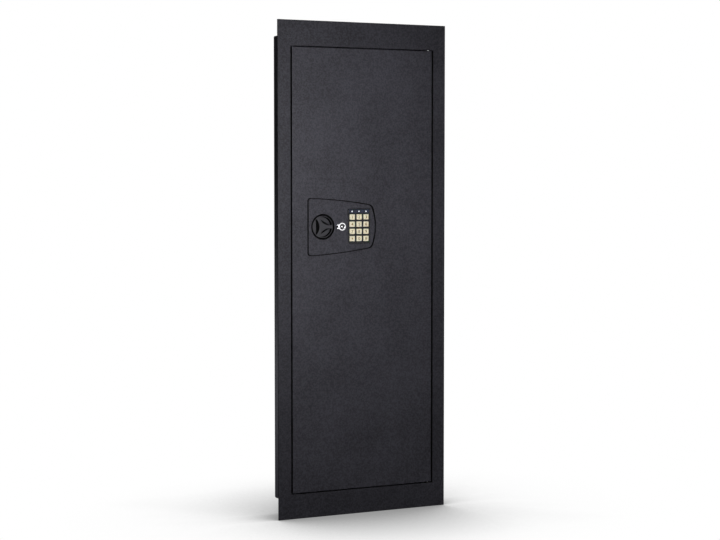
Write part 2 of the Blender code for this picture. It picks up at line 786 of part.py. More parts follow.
def make_keypad(door):
    """The bezel, the dark window with its three lights and the circuit board behind the keys."""
    half = KEYPAD_WIDTH / 2
    frame = box(
        "keypad_frame",
        (KEYPAD_X - half, -KEYPAD_PROUD, KEYPAD_BOTTOM),
        (KEYPAD_X + half, KEYPAD_BACK, KEYPAD_TOP),
        BLACK_PLASTIC,
        door,
        0.4 * MM,
    )
    key_play = 0.4 * MM
    side = KEY_WIDTH / 2 + key_play
    rise = KEY_HEIGHT / 2 + key_play
    front, back = -KEYPAD_PROUD - PAST, KEYPAD_BACK + PAST
    for _, x, z in key_places():
        cut(frame, box_tool((x - side, front, z - rise), (x + side, back, z + rise)))
    window_low = (KEYPAD_X - WINDOW_HALF_WIDTH, -WINDOW_PROUD, LED_Z - WINDOW_HALF_HEIGHT)
    window_high = (KEYPAD_X + WINDOW_HALF_WIDTH, WINDOW_BACK, LED_Z + WINDOW_HALF_HEIGHT)
    recess_low = Vector(window_low) - Vector((GAP, 2 * PAST, GAP))
    recess_high = Vector(window_high) + Vector((GAP, GAP, GAP))
    cut(frame, box_tool(recess_low, recess_high))
    window = box("indicator_window", window_low, window_high, NAVY_WINDOW, door)
    for name, column in (("left", -1), ("middle", 0), ("right", 1)):
        centre = (KEYPAD_X + column * KEY_PITCH_X, 0, LED_Z)
        cut(window, rod_tool(centre, "Y", LED_RADIUS + GAP, -PAST, WINDOW_BACK + PAST, 20))
        cut(frame, rod_tool(centre, "Y", LED_RADIUS + GAP, WINDOW_BACK - 0.5 * MM, LED_BACK + 0.5 * MM, 20))
        profile = disc_profile(LED_RADIUS, -LED_PROUD, LED_BACK, 0.4 * MM)
        turned(f"led_{name}", profile, centre, "Y", LED_WHITE, door, 20)
    margin = 1.4 * MM
    box(
        "keypad_board",
        (KEYPAD_X - half + margin, BOARD_FRONT, KEYPAD_BOTTOM + margin),
        (KEYPAD_X + half - margin, BOARD_BACK, KEYPAD_TOP - margin),
        BOARD,
        door,
    )


def make_keys(door):
    for name, x, z in key_places():
        axis = empty(f"key_{name}_axis", (x, 0, z), door)
        box(
            f"key_{name}",
            (x - KEY_WIDTH / 2, -KEY_PROUD, z - KEY_HEIGHT / 2),
            (x + KEY_WIDTH / 2, KEY_BACK, z + KEY_HEIGHT / 2),
            CREAM_PLASTIC,
            axis,
            0.5 * MM,
        )


def make_key_lock(door):
    """The override lock: a barrel with a collar and a forked ear, and the plug and cam that the key turns."""
    centre = (KEYLOCK_X, 0, LOCK_Z)
    bore = PLUG_RADIUS + 0.4 * MM
    barrel_profile = [
        (KEYLOCK_COLLAR, -KEYLOCK_PROUD),
        (KEYLOCK_COLLAR, -GAP),
        (KEYLOCK_RADIUS, -GAP),
        (KEYLOCK_RADIUS, PLATE_FRONT - GAP),
        (bore, PLATE_FRONT - GAP),
        (bore, -KEYLOCK_PROUD),
    ]
    housing = turned("key_lock_housing", barrel_profile, centre, "Y", CHROME, door)
    ear_end = KEYLOCK_X - EAR_LENGTH
    ear = box_tool(
        (ear_end, -KEYLOCK_PROUD, LOCK_Z - EAR_HALF_HEIGHT),
        (KEYLOCK_X - EAR_ROOT, -GAP, LOCK_Z + EAR_HALF_HEIGHT),
    )
    fork = box_tool(
        (ear_end - PAST, -KEYLOCK_PROUD - PAST, LOCK_Z - FORK_HALF_HEIGHT),
        (ear_end + FORK_DEPTH, PAST, LOCK_Z + FORK_HALF_HEIGHT),
    )
    join(housing, ear)
    cut(housing, fork)
    axis = empty("key_turn_axis", centre, door)
    floor = KEYWAY_DEPTH - PLUG_PROUD
    plug_profile = [
        (0, -PLUG_PROUD),
        (KEYWAY_INNER, -PLUG_PROUD),
        (KEYWAY_INNER, floor),
        (KEYWAY_OUTER, floor),
        (KEYWAY_OUTER, -PLUG_PROUD),
        (PLUG_RADIUS, -PLUG_PROUD),
        (PLUG_RADIUS, PLUG_BACK),
        (0, PLUG_BACK),
    ]
    turned("key_plug", plug_profile, centre, "Y", CHROME, axis, 24)
    cam_round = arc_points((KEYLOCK_X, LOCK_Z), CAM_RADIUS, -120, 120, 20)
    cam_lobe = arc_points((KEYLOCK_X - CAM_LOBE_REACH, LOCK_Z), CAM_LOBE_RADIUS, 120, 240, 8)
    plate("key_cam", [cam_round + cam_lobe], PLUG_BACK + GAP, CAM_BACK, ZINC_STEEL, axis)


# ----------------------------------------------------------------- bolt work

def make_knob(door):
    """The dial and the spindle that turns with it. The scoops lie between three raised arms."""
    axis = empty("knob_axis", (KNOB_X, 0, LOCK_Z), door)
    dial = turned(
        "knob",
        disc_profile(KNOB_RADIUS, KNOB_FACE, KNOB_BACK, 0.6 * MM),
        (KNOB_X, 0, LOCK_Z),
        "Y",
        BLACK_PLASTIC,
        axis,
        48,
    )
    for turn in SCOOP_TURNS:
        cut(dial, plate_tool(scoop_outline(turn), -PAST, KNOB_FACE + SCOOP_DEPTH))
    spindle_front = KNOB_BACK + GAP
    spindle_profile = [
        (0, spindle_front),
        (SPINDLE_RADIUS, spindle_front),
        (SPINDLE_RADIUS, CRANK_DISC_FRONT),
        (CRANK_DISC_RADIUS, CRANK_DISC_FRONT),
        (CRANK_DISC_RADIUS, CRANK_DISC_BACK),
        (0, CRANK_DISC_BACK),
    ]
    spindle = turned("drive_spindle", spindle_profile, (KNOB_X, 0, LOCK_Z), "Y", ZINC_STEEL, axis)
    pin_x, pin_z = crank_pin_place()
    pin_front, pin_back = CRANK_DISC_BACK - PAST, CARRIAGE_BACK + 1.5 * MM
    join(spindle, rod_tool((pin_x, 0, pin_z), "Y", CRANK_PIN_RADIUS, pin_front, pin_back, 24))


def crank_pin_place():
    """Where the crank pin stands with the bolts drawn back."""
    turn = math.radians(CRANK_TURN)
    return KNOB_X + CRANK_RADIUS * math.cos(turn), LOCK_Z + CRANK_RADIUS * math.sin(turn)


def scoop_outline(turn):
    """A finger scoop: a lens between an arc just inside the dial's edge and one that bows towards its hub."""
    rim = arc_points((KNOB_X, LOCK_Z), SCOOP_RIM, turn - SCOOP_HALF_TURN, turn + SCOOP_HALF_TURN, 10)
    chord_to_hub = SCOOP_RIM * math.cos(math.radians(SCOOP_HALF_TURN)) - SCOOP_HUB
    return rim[:-1] + bowed_edge(rim[-1], rim[0], -chord_to_hub, 8)


def make_bolt_carriage(door):
    """A bar with a lip for the bolts, a yoke for the crank pin and an arm the blocking pin drops into."""
    axis = empty("bolt_axis", (0, BOLT_Y, LOCK_Z), door)
    outline = [
        (BAR_LEFT, BAR_BOTTOM),
        (BAR_RIGHT, BAR_BOTTOM),
        (BAR_RIGHT, YOKE_BOTTOM),
        (YOKE_RIGHT, YOKE_BOTTOM),
        (YOKE_RIGHT, ARM_BOTTOM),
        (ARM_RIGHT, ARM_BOTTOM),
        (ARM_RIGHT, ARM_TOP),
    ]
    for notch in (BLOCKING_PIN_X + BOLT_THROW, BLOCKING_PIN_X):
        outline.append((notch + NOTCH_WIDTH / 2, ARM_TOP))
        outline.append((notch + NOTCH_WIDTH / 2, NOTCH_BOTTOM))
        outline.append((notch - NOTCH_WIDTH / 2, NOTCH_BOTTOM))
        outline.append((notch - NOTCH_WIDTH / 2, ARM_TOP))
    outline.append((BAR_RIGHT, ARM_TOP))
    outline.append((BAR_RIGHT, BAR_TOP))
    outline.append((BAR_LEFT, BAR_TOP))
    slot_x, _ = crank_pin_place()
    slot_half = CRANK_PIN_RADIUS + 0.55 * MM
    slot = rectangle(slot_x - slot_half, slot_x + slot_half, CRANK_SLOT_BOTTOM, CRANK_SLOT_TOP)
    carriage = plate("bolt_carriage", [outline, slot], CARRIAGE_FRONT, CARRIAGE_BACK, ZINC_STEEL, axis)
    lip_right = LIP_LEFT + LIP_THICKNESS
    lip = box_tool((LIP_LEFT, LIP_FRONT, BAR_BOTTOM - PAST), (lip_right, LIP_BACK, BAR_TOP + PAST))
    join(carriage, lip)
    half = BOLT_RADIUS + 1.5 * MM
    window_right = lip_right + BOLT_HEAD_LENGTH + 2.3 * MM
    for height in BOLT_HEIGHTS.values():
        window = box_tool(
            (lip_right, CARRIAGE_FRONT - PAST, height - half),
            (window_right, CARRIAGE_BACK + PAST, height + half),
        )
        neck = rod_tool(
            (0, BOLT_Y, height), "X", BOLT_NECK_RADIUS + 0.4 * MM, LIP_LEFT - PAST, lip_right + PAST, 24
        )
        cut(carriage, window, neck)
    return axis


def make_bolts(axis):
    """Three round bolts, each with a neck that sits in the carriage's lip and a head behind it."""
    shoulder = LIP_LEFT - 0.1 * MM
    neck_end = LIP_LEFT + LIP_THICKNESS + 0.5 * MM
    chamfer = 1.2 * MM
    profile = [
        (0, BOLT_TIP),
        (BOLT_RADIUS - chamfer, BOLT_TIP),
        (BOLT_RADIUS, BOLT_TIP + chamfer),
        (BOLT_RADIUS, shoulder),
        (BOLT_NECK_RADIUS, shoulder),
        (BOLT_NECK_RADIUS, neck_end),
        (BOLT_RADIUS, neck_end),
        (BOLT_RADIUS, neck_end + BOLT_HEAD_LENGTH),
        (0, neck_end + BOLT_HEAD_LENGTH),
    ]
    for name, height in BOLT_HEIGHTS.items():
        turned(f"bolt_{name}", profile, (0, BOLT_Y, height), "X", CHROME, axis, 28)


def make_bolt_guides(door):
    """An angle bracket on the door's inside for each bolt, its upright side bored for the bolt."""
    front = DOOR_WALL + GAP
    foot_back = front + 2 * MM
    for name, height in BOLT_HEIGHTS.items():
        low, high = height - GUIDE_HALF_HEIGHT, height + GUIDE_HALF_HEIGHT
        guide = box(
            f"bolt_guide_{name}",
            (GUIDE_LEFT, front, low),
            (GUIDE_RIGHT, GUIDE_BACK, high),
            ZINC_STEEL,
            door,
        )
        foot = box_tool((GUIDE_LEFT + PAST, front, low), (GUIDE_FOOT_RIGHT, foot_back, high))
        join(guide, foot)
        bore = BOLT_RADIUS + 0.4 * MM
        cut(guide, rod_tool((0, BOLT_Y, height), "X", bore, GUIDE_LEFT - PAST, GUIDE_RIGHT + PAST, 28))


def make_blocking_pin(door):
    """The pin that blocks the bolt work, shown lifted. Its tab hangs over the key's cam, which lifts it too."""
    axis = empty("blocking_pin_axis", (BLOCKING_PIN_X, BLOCKING_PIN_Y, 0), door)
    chamfer = 0.6 * MM
    profile = [
        (0, BLOCKING_PIN_LOW),
        (BLOCKING_PIN_RADIUS - chamfer, BLOCKING_PIN_LOW),
        (BLOCKING_PIN_RADIUS, BLOCKING_PIN_LOW + chamfer),
        (BLOCKING_PIN_RADIUS, PIN_COLLAR_LOW),
        (PIN_COLLAR_RADIUS, PIN_COLLAR_LOW),
        (PIN_COLLAR_RADIUS, PIN_COLLAR_HIGH),
        (BLOCKING_PIN_RADIUS, PIN_COLLAR_HIGH),
        (BLOCKING_PIN_RADIUS, BLOCKING_PIN_TOP),
        (0, BLOCKING_PIN_TOP),
    ]
    centre = (BLOCKING_PIN_X, BLOCKING_PIN_Y, 0)
    pin = turned("blocking_pin", profile, centre, "Z", ZINC_STEEL, axis, 24)
    left, right = BLOCKING_PIN_X - BLOCKING_PIN_RADIUS, BLOCKING_PIN_X + BLOCKING_PIN_RADIUS
    bridge_low, bridge_high = PIN_COLLAR_LOW + 0.5 * MM, PIN_COLLAR_HIGH - 0.5 * MM
    bridge = box_tool((left, BLOCKING_PIN_Y + 2 * MM, bridge_low), (right, PIN_BRIDGE_BACK, bridge_high))
    tab = box_tool((left, PIN_TAB_FRONT, PIN_TAB_LOW), (right, PIN_TAB_BACK, bridge_high - PAST))
    join(pin, bridge, tab)


def make_pin_spring(door):
    """The spring between the pin's collar and the solenoid, coiled round the pin."""
    low = PIN_COLLAR_HIGH + SPRING_WIRE_RADIUS + GAP
    high = SOLENOID_BOTTOM - SPRING_WIRE_RADIUS - GAP
    curve = bpy.data.curves.new("pin_spring", "CURVE")
    curve.dimensions = "3D"
    curve.bevel_depth = SPRING_WIRE_RADIUS
    curve.bevel_resolution = 2
    curve.use_fill_caps = True
    spline = curve.splines.new("POLY")
    total = SPRING_TURNS * SPRING_POINTS_A_TURN
    spline.points.add(total)
    for count, point in enumerate(spline.points):
        turn = 2 * math.pi * count / SPRING_POINTS_A_TURN
        height = low + (high - low) * count / total
        point.co = (SPRING_RADIUS * math.cos(turn), SPRING_RADIUS * math.sin(turn), height, 1)
    curve.materials.append(ZINC_STEEL)
    spring = bpy.data.objects.new("pin_spring", curve)
    SAFE.objects.link(spring)
    put(spring, (BLOCKING_PIN_X, BLOCKING_PIN_Y, 0), door)


def make_solenoid(door):
    """The solenoid that lifts the blocking pin: a frame open at both sides with the winding standing in it."""
    left, right = BLOCKING_PIN_X - SOLENOID_HALF, BLOCKING_PIN_X + SOLENOID_HALF
    front, back = BLOCKING_PIN_Y - SOLENOID_HALF_DEPTH, BLOCKING_PIN_Y + SOLENOID_HALF_DEPTH
    wall = SOLENOID_WALL
    low, high = SOLENOID_BOTTOM + wall, SOLENOID_TOP - wall
    bore = BLOCKING_PIN_RADIUS + 0.6 * MM
    centre = (BLOCKING_PIN_X, BLOCKING_PIN_Y, 0)
    yoke = box(
        "solenoid_frame",
        (left, front, SOLENOID_BOTTOM),
        (right, back, SOLENOID_TOP),
        ZINC_STEEL,
        door,
    )
    cut(
        yoke,
        box_tool((left - PAST, front + wall, low), (right + PAST, back - wall, high)),
        rod_tool(centre, "Z", bore, SOLENOID_BOTTOM - PAST, low + PAST, 24),
    )
    low, high = low + GAP, high - GAP
    profile = [(WINDING_RADIUS, low), (WINDING_RADIUS, high), (bore, high), (bore, low)]
    turned("solenoid_coil", profile, centre, "Z", COPPER, door, 28)


# ------------------------------------------------------------------- battery

def make_battery_box(door):
    """A case with four round batteries lying across it, every other one turned end for end."""
    half = BATTERY_CASE_WIDTH / 2
    margin = BATTERY_RADIUS + 2 * MM
    top_battery = BATTERY_LOW_Z + (BATTERY_COUNT - 1) * BATTERY_PITCH
    pan(
        "battery_case",
        (BATTERY_X - half, PLATE_BACK + GAP, BATTERY_LOW_Z - margin),
        (BATTERY_X + half, BATTERY_CASE_BACK, top_battery + margin),
        1.5 * MM,
        1,
        BLACK_PLASTIC,
        door,
    )
    end = BATTERY_LENGTH / 2
    chamfer = 0.6 * MM
    profile = [
        (0, -end),
        (BATTERY_RADIUS - chamfer, -end),
        (BATTERY_RADIUS, -end + chamfer),
        (BATTERY_RADIUS, end - 2 * MM),
        (TERMINAL_RADIUS, end - 1.2 * MM),
        (TERMINAL_RADIUS, end),
        (0, end),
    ]
    for count in range(BATTERY_COUNT):
        centre = (BATTERY_X, BATTERY_Y, BATTERY_LOW_Z + count * BATTERY_PITCH)
        battery = turned(f"battery_{count + 1}", profile, centre, "X", BATTERY, door, 24)
        put(battery, centre, door)
        battery.rotation_euler.y = math.radians(90 if count % 2 else -90)


def make_battery_cover(door):
    """The lid over the battery opening. It slides off to the left and has three ridges for the thumb."""
    low, high = LID_BOTTOM, LID_TOP
    middle_z = (low + high) / 2
    axis = empty("battery_cover_axis", (BATTERY_X, COVER_BACK, middle_z), door)
    front = COVER_BACK + GAP
    lid = box(
        "battery_cover",
        (LID_LEFT, front, low),
        (LID_RIGHT, front + LID_THICKNESS, high),
        BLACK_PLASTIC,
        axis,
        0.4 * MM,
    )
    half = 0.6 * MM
    rise = RIDGE_LENGTH / 2
    for ridge in range(RIDGE_COUNT):
        x = RIDGE_LEFT + ridge * RIDGE_PITCH
        bar = box_tool(
            (x - half, front + PAST, middle_z - rise), (x + half, front + RIDGE_HEIGHT, middle_z + rise)
        )
        join(lid, bar)


def make_reset_button(door):
    axis = empty("reset_axis", RESET_PLACE, door)
    chamfer = 0.5 * MM
    profile = [
        (0, RESET_FRONT),
        (RESET_HEAD_RADIUS, RESET_FRONT),
        (RESET_HEAD_RADIUS, RESET_HEAD_BACK),
        (RESET_RADIUS, RESET_HEAD_BACK),
        (RESET_RADIUS, RESET_BACK - chamfer),
        (RESET_RADIUS - chamfer, RESET_BACK),
        (0, RESET_BACK),
    ]
    turned("reset_button", profile, RESET_PLACE, "Y", RED_PLASTIC, axis, 20)


def make_cabinet():
    make_flange()
    make_body_shell()
    make_jambs()
    make_hinge_lugs()
    make_interior()


def make_door():
    door = empty("door_axis", (HINGE_X, HINGE_Y, 0), SAFE_FRAME)
    make_door_skin(door)
    make_hinge_pins(door)
    make_mechanism_plate(door)
    make_mechanism_cover(door)
    make_cover_screws(door)
    make_lock_panel(door)
    make_keypad(door)
    make_keys(door)
    make_key_lock(door)
    make_knob(door)
    bolt_axis = make_bolt_carriage(door)
    make_bolts(bolt_axis)
    make_bolt_guides(door)
    make_blocking_pin(door)
    make_pin_spring(door)
    make_solenoid(door)
    make_battery_box(door)
    make_battery_cover(door)
    make_reset_button(door)


make_cabinet()
make_door()
finish_rounds()
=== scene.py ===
"""The looks of the in-wall gun safe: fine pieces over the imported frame, finishes, studio and camera.

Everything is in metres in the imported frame: +X to the right seen from the front, +Y into the wall, +Z up.
Each fine piece takes its place and size from the box of the node it stands for.
"""

import json
import math

import bmesh
import bpy
from mathutils import Matrix, Vector, noise

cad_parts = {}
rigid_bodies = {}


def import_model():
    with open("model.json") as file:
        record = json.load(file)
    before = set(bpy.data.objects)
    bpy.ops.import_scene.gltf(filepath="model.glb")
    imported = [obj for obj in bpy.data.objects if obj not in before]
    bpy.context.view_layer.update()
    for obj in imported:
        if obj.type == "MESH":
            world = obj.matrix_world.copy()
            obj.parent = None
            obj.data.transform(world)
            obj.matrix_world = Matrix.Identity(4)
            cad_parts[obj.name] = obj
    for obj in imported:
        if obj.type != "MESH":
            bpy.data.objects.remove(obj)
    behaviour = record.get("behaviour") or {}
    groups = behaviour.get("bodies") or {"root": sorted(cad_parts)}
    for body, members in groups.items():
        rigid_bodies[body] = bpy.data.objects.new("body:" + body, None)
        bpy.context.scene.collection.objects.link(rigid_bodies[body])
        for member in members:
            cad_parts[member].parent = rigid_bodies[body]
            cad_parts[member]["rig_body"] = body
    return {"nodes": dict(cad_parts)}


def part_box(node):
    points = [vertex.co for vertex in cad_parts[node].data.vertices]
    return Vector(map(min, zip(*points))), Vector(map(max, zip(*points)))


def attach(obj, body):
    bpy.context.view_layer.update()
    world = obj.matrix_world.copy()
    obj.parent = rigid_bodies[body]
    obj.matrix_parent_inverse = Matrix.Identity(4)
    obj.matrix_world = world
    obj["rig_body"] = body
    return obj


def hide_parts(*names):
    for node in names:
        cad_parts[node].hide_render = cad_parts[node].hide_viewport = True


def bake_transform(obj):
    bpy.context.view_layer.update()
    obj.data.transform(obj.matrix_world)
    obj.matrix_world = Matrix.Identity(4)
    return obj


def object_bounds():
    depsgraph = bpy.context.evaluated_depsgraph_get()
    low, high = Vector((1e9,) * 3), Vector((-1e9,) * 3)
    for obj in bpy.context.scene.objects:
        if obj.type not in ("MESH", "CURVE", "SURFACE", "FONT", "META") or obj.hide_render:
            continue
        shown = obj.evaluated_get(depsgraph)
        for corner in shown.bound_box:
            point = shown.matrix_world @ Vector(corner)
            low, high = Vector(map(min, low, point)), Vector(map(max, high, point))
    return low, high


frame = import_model()
CAD_LOW, CAD_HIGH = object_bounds()

MM = 0.001
# Points closer than this are one point, and a cutting tool reaches this far past the face it opens
MERGE = 0.001 * MM
OVERRUN = 3 * MM
# The share of its normal along an axis above which a face faces that way
FACING = 0.6

# Fold and edge radii of the sheet metal, and the seams round the door
FLANGE_EDGE = 0.7 * MM
FLANGE_CORNER = 1.4 * MM
SHELL_FOLD = 3.2 * MM
DOOR_FOLD = 1.5 * MM
SHEET_EDGE = 0.35 * MM
SIDE_SEAM = 3.1 * MM
END_SEAM = 1.8 * MM

# The lock panel's D, measured from its own box, and the small hole beside the key lock
PANEL_BULGE = 9.5 * MM
PANEL_CROWN = 2.8 * MM
PANEL_HALF_RIGHT = 45.5 * MM
PANEL_CORNER = 7 * MM
PANEL_SIDE_GROOVE = 2.9 * MM
PANEL_END_GROOVE = 1.5 * MM
PANEL_EDGE = 0.7 * MM
PANEL_FACE_DEPTH = 2.6 * MM
PANEL_RIM = 4 * MM
DETENT_REACH = 11 * MM
DETENT_RADIUS = 2.6 * MM

# The cup the dial turns in, and the hole in the panel's face over it
WELL_RADIUS = 27 * MM
WELL_WALL = 2 * MM
DIAL_HOLE_RADIUS = 27.7 * MM

# The dial's scoops: where their circles lie as shares of its radius, their places in degrees, how far from
# the dial's middle each floor starts, and the rim that closes them
SCOOP_CENTRE = 1.12
SCOOP_RADIUS = 0.835
SCOOP_TURNS = (60, 180, 300)
SCOOP_DEPTH = 7.3 * MM
SCOOP_FLOOR = 12.8 * MM
SCOOP_RIM = 22.4 * MM
SCOOP_RIM_WALL = 1 * MM
DIAL_FACE = 23.9 * MM
DIAL_BEVEL = 1.9 * MM


# ---- node trees

def add_node(tree, kind, inputs=None, **settings):
    """A shader node with its settings, and with each input either set to a value or linked to a socket."""
    made = tree.nodes.new(kind)
    for name, value in settings.items():
        setattr(made, name, value)
    for name, value in (inputs or {}).items():
        if isinstance(value, bpy.types.NodeSocket):
            tree.links.new(value, made.inputs[name])
        else:
            made.inputs[name].default_value = value
    return made


def ramp(tree, value, low, high, start=0.0, end=1.0, kind="SMOOTHSTEP"):
    """The value between low and high, mapped to start and end."""
    inputs = {"Value": value, "From Min": low, "From Max": high, "To Min": start, "To Max": end}
    return add_node(tree, "ShaderNodeMapRange", inputs, interpolation_type=kind).outputs["Result"]


def maths(tree, operation, *values):
    made = add_node(tree, "ShaderNodeMath", dict(enumerate(values)), operation=operation)
    return made.outputs[0]


def mix_colours(tree, share, first, second):
    made = add_node(tree, "ShaderNodeMix", data_type="RGBA")
    for socket, value in ((made.inputs[0], share), (made.inputs[6], first), (made.inputs[7], second)):
        if isinstance(value, bpy.types.NodeSocket):
            tree.links.new(value, socket)
        else:
            socket.default_value = value if isinstance(value, float) else (*value, 1.0)
    return made.outputs[2]


def fine_noise(tree, place, scale, detail=2.0):
    made = add_node(tree, "ShaderNodeTexNoise", {"Vector": place, "Scale": scale, "Detail": detail})
    return made.outputs["Fac"]


def cells(tree, place, scale):
    made = add_node(tree, "ShaderNodeTexVoronoi", {"Vector": place, "Scale": scale}, feature="SMOOTH_F1")
    return made.outputs["Distance"]


def edge_mask(tree, radius):
    """1 on edges sharper than the radius, 0 on open faces."""
    rounded = add_node(tree, "ShaderNodeBevel", {"Radius": radius}, samples=4).outputs["Normal"]
    flat = add_node(tree, "ShaderNodeNewGeometry").outputs["Normal"]
    match = add_node(tree, "ShaderNodeVectorMath", {0: rounded, 1: flat}, operation="DOT_PRODUCT")
    return ramp(tree, match.outputs["Value"], 0.75, 0.99, 1.0, 0.0)


# ---- looks

LOOKS = {}
TEXTURES = {"noise": fine_noise, "cells": cells}
SPECK_SHARE, CLOUD_SHARE = 0.7, 0.3
CLOUD_SCALE = 9.0
RUB_AND_SHEEN_SCALE = 120.0
ROUGHNESS_SCALE = 0.37


def finish(
    name, colours, roughness, metallic=0.0, mottle=300, bumps=(), wear=None, stretch=(1, 1, 1), **rest
):
    """Adds a procedural finish to the looks. Colours are its darker and lighter tone, mottle the number of
    specks in a metre, each bump a texture with its scale and its height in millimetres, and wear
    the lighter tone of the edges and their radius in millimetres: partly rubbed wear, partly a painted edge
    sheen."""
    made = bpy.data.materials.new(name)
    made.use_nodes = True
    tree = made.node_tree
    shader = tree.nodes["Principled BSDF"]
    coordinates = add_node(tree, "ShaderNodeTexCoord").outputs["Object"]
    mapping = add_node(tree, "ShaderNodeMapping", {"Vector": coordinates, "Scale": stretch})
    place = mapping.outputs["Vector"]
    specks = ramp(tree, fine_noise(tree, place, mottle, 3.0), 0.34, 0.66)
    clouds = ramp(tree, fine_noise(tree, coordinates, CLOUD_SCALE, 3.0), 0.3, 0.7)
    tone = maths(tree, "MULTIPLY_ADD", specks, SPECK_SHARE, maths(tree, "MULTIPLY", clouds, CLOUD_SHARE))
    colour = mix_colours(tree, tone, *colours)
    # Lighter edges: partly rubbed wear, partly a painted edge sheen
    if wear:
        worn_and_sheen_tone, radius = wear
        rub_and_sheen = ramp(tree, fine_noise(tree, coordinates, RUB_AND_SHEEN_SCALE, 4.0), 0.42, 0.62)
        share = maths(tree, "MULTIPLY", edge_mask(tree, radius * MM), rub_and_sheen)
        colour = mix_colours(tree, share, colour, worn_and_sheen_tone)
    tree.links.new(colour, shader.inputs["Base Color"])
    rough = ramp(tree, fine_noise(tree, place, mottle * ROUGHNESS_SCALE, 4.0), 0.3, 0.7, *roughness)
    tree.links.new(rough, shader.inputs["Roughness"])
    shader.inputs["Metallic"].default_value = metallic
    previous = None
    for kind, scale, height in bumps:
        inputs = {"Height": TEXTURES[kind](tree, place, scale), "Distance": height * MM}
        if previous:
            inputs["Normal"] = previous
        previous = add_node(tree, "ShaderNodeBump", inputs).outputs["Normal"]
    if previous:
        tree.links.new(previous, shader.inputs["Normal"])
    for socket, value in rest.items():
        shader.inputs[socket.replace("_", " ")].default_value = value
    LOOKS[name] = made
    return made


def colour_parts(made):
    """A finish's colour input, its colour so far, and the place on the object."""
    colour_input = made.node_tree.nodes["Principled BSDF"].inputs["Base Color"]
    place = add_node(made.node_tree, "ShaderNodeTexCoord").outputs["Object"]
    return colour_input, colour_input.links[0].from_socket, place


def board_finish():
    """Green solder mask over copper traces, with tinned pads."""
    greens = ((0.01, 0.1, 0.03), (0.02, 0.16, 0.05))
    over_trace, tin = (0.06, 0.24, 0.08), (0.5, 0.47, 0.38)
    made = finish("circuit_board", greens, (0.25, 0.4), bumps=[("noise", 900, 0.03)])
    tree = made.node_tree
    colour_input, green, place = colour_parts(made)
    upright = add_node(tree, "ShaderNodeMapping", {"Vector": place, "Rotation": (math.pi / 2, 0, 0)})
    grid = {"Vector": upright.outputs["Vector"], "Scale": 60.0, "Mortar Size": 0.03, "Brick Width": 0.4}
    traces = add_node(tree, "ShaderNodeTexBrick", grid).outputs["Fac"]
    dots = add_node(tree, "ShaderNodeTexVoronoi", {"Vector": place, "Scale": 210.0})
    pads = ramp(tree, dots.outputs["Distance"], 0.16, 0.2)
    traced = mix_colours(tree, traces, green, over_trace)
    tree.links.new(mix_colours(tree, pads, tin, traced), colour_input)


def battery_finish():
    """A dark printed jacket with a pale band round one end."""
    darks = ((0.03, 0.03, 0.034), (0.045, 0.045, 0.05))
    pale, band_start, band_blur = (0.5, 0.5, 0.52), 13 * MM, 0.4 * MM
    made = finish("battery_jacket", darks, (0.22, 0.34), metallic=0.35)
    tree = made.node_tree
    colour_input, jacket, place = colour_parts(made)
    along = add_node(tree, "ShaderNodeSeparateXYZ", {0: place}).outputs["X"]
    band = ramp(tree, along, band_start, band_start + band_blur)
    tree.links.new(mix_colours(tree, band, jacket, pale), colour_input)


COAT_COLOURS = ((0.019, 0.0183, 0.0246), (0.051, 0.0495, 0.064))
FLANGE_TONE = 0.78
FLANGE_COLOURS = [tuple(tone * FLANGE_TONE for tone in colour) for colour in COAT_COLOURS]
COAT = dict(
    roughness=(0.46, 0.62), wear=((0.05, 0.049, 0.056), 0.4),
    bumps=[("cells", 620, 0.35), ("noise", 1500, 0.12), ("noise", 240, 0.3)],
)
finish("powder_coat", COAT_COLOURS, **COAT, Specular_IOR_Level=0.42)
finish("flange_coat", FLANGE_COLOURS, **COAT, Specular_IOR_Level=0.36)
# Near-black painted shade for faces inside the seams and on narrow edges, where the real coat is the same but
# shaded
finish(
    "painted_seam_shade", ((0.0018, 0.0018, 0.0022), (0.0035, 0.0035, 0.0042)), (0.6, 0.75), mottle=420,
    bumps=[("cells", 620, 0.28), ("noise", 1500, 0.12)], Specular_IOR_Level=0.15,
)
# Black painted shade for the groove's floor, the dial's cup, its steep scoop walls and the keyway
finish(
    "painted_shade_black", ((0.0012, 0.0012, 0.0014), (0.0025, 0.0025, 0.003)), (0.6, 0.75),
    bumps=[("noise", 1400, 0.06)], Specular_IOR_Level=0.1,
)
finish(
    "dial_plastic", ((0.027, 0.0265, 0.032), (0.038, 0.0372, 0.045)), (0.36, 0.5), mottle=700,
    bumps=[("noise", 2400, 0.03)], wear=((0.06, 0.059, 0.065), 0.5),
)
# Its lighter edges stand for a painted edge sheen as well as wear
finish(
    "black_plastic", ((0.01, 0.01, 0.0115), (0.017, 0.017, 0.019)), (0.34, 0.5), mottle=500,
    bumps=[("cells", 1300, 0.07), ("noise", 3000, 0.03)], wear=((0.045, 0.045, 0.05), 0.5),
)
finish(
    "cream_plastic", ((0.82, 0.755, 0.545), (0.93, 0.87, 0.67)), (0.32, 0.46), mottle=900,
    bumps=[("noise", 2600, 0.02)], wear=((0.96, 0.92, 0.76), 0.4),
    Subsurface_Weight=0.08, Subsurface_Radius=(0.002, 0.0012, 0.0006),
)
finish("digit_ink", ((0.2, 0.125, 0.04), (0.3, 0.2, 0.075)), (0.5, 0.65), mottle=1500)
finish(
    "navy_window", ((0.002, 0.004, 0.014), (0.006, 0.013, 0.045)), (0.12, 0.2), mottle=160,
    bumps=[("noise", 120, 0.05)], Specular_IOR_Level=0.3,
)
finish(
    "led_white", ((0.75, 0.8, 0.9), (0.9, 0.93, 1.0)), (0.12, 0.2), mottle=1200,
    Emission_Color=(0.85, 0.9, 1.0, 1.0), Emission_Strength=0.45,
)
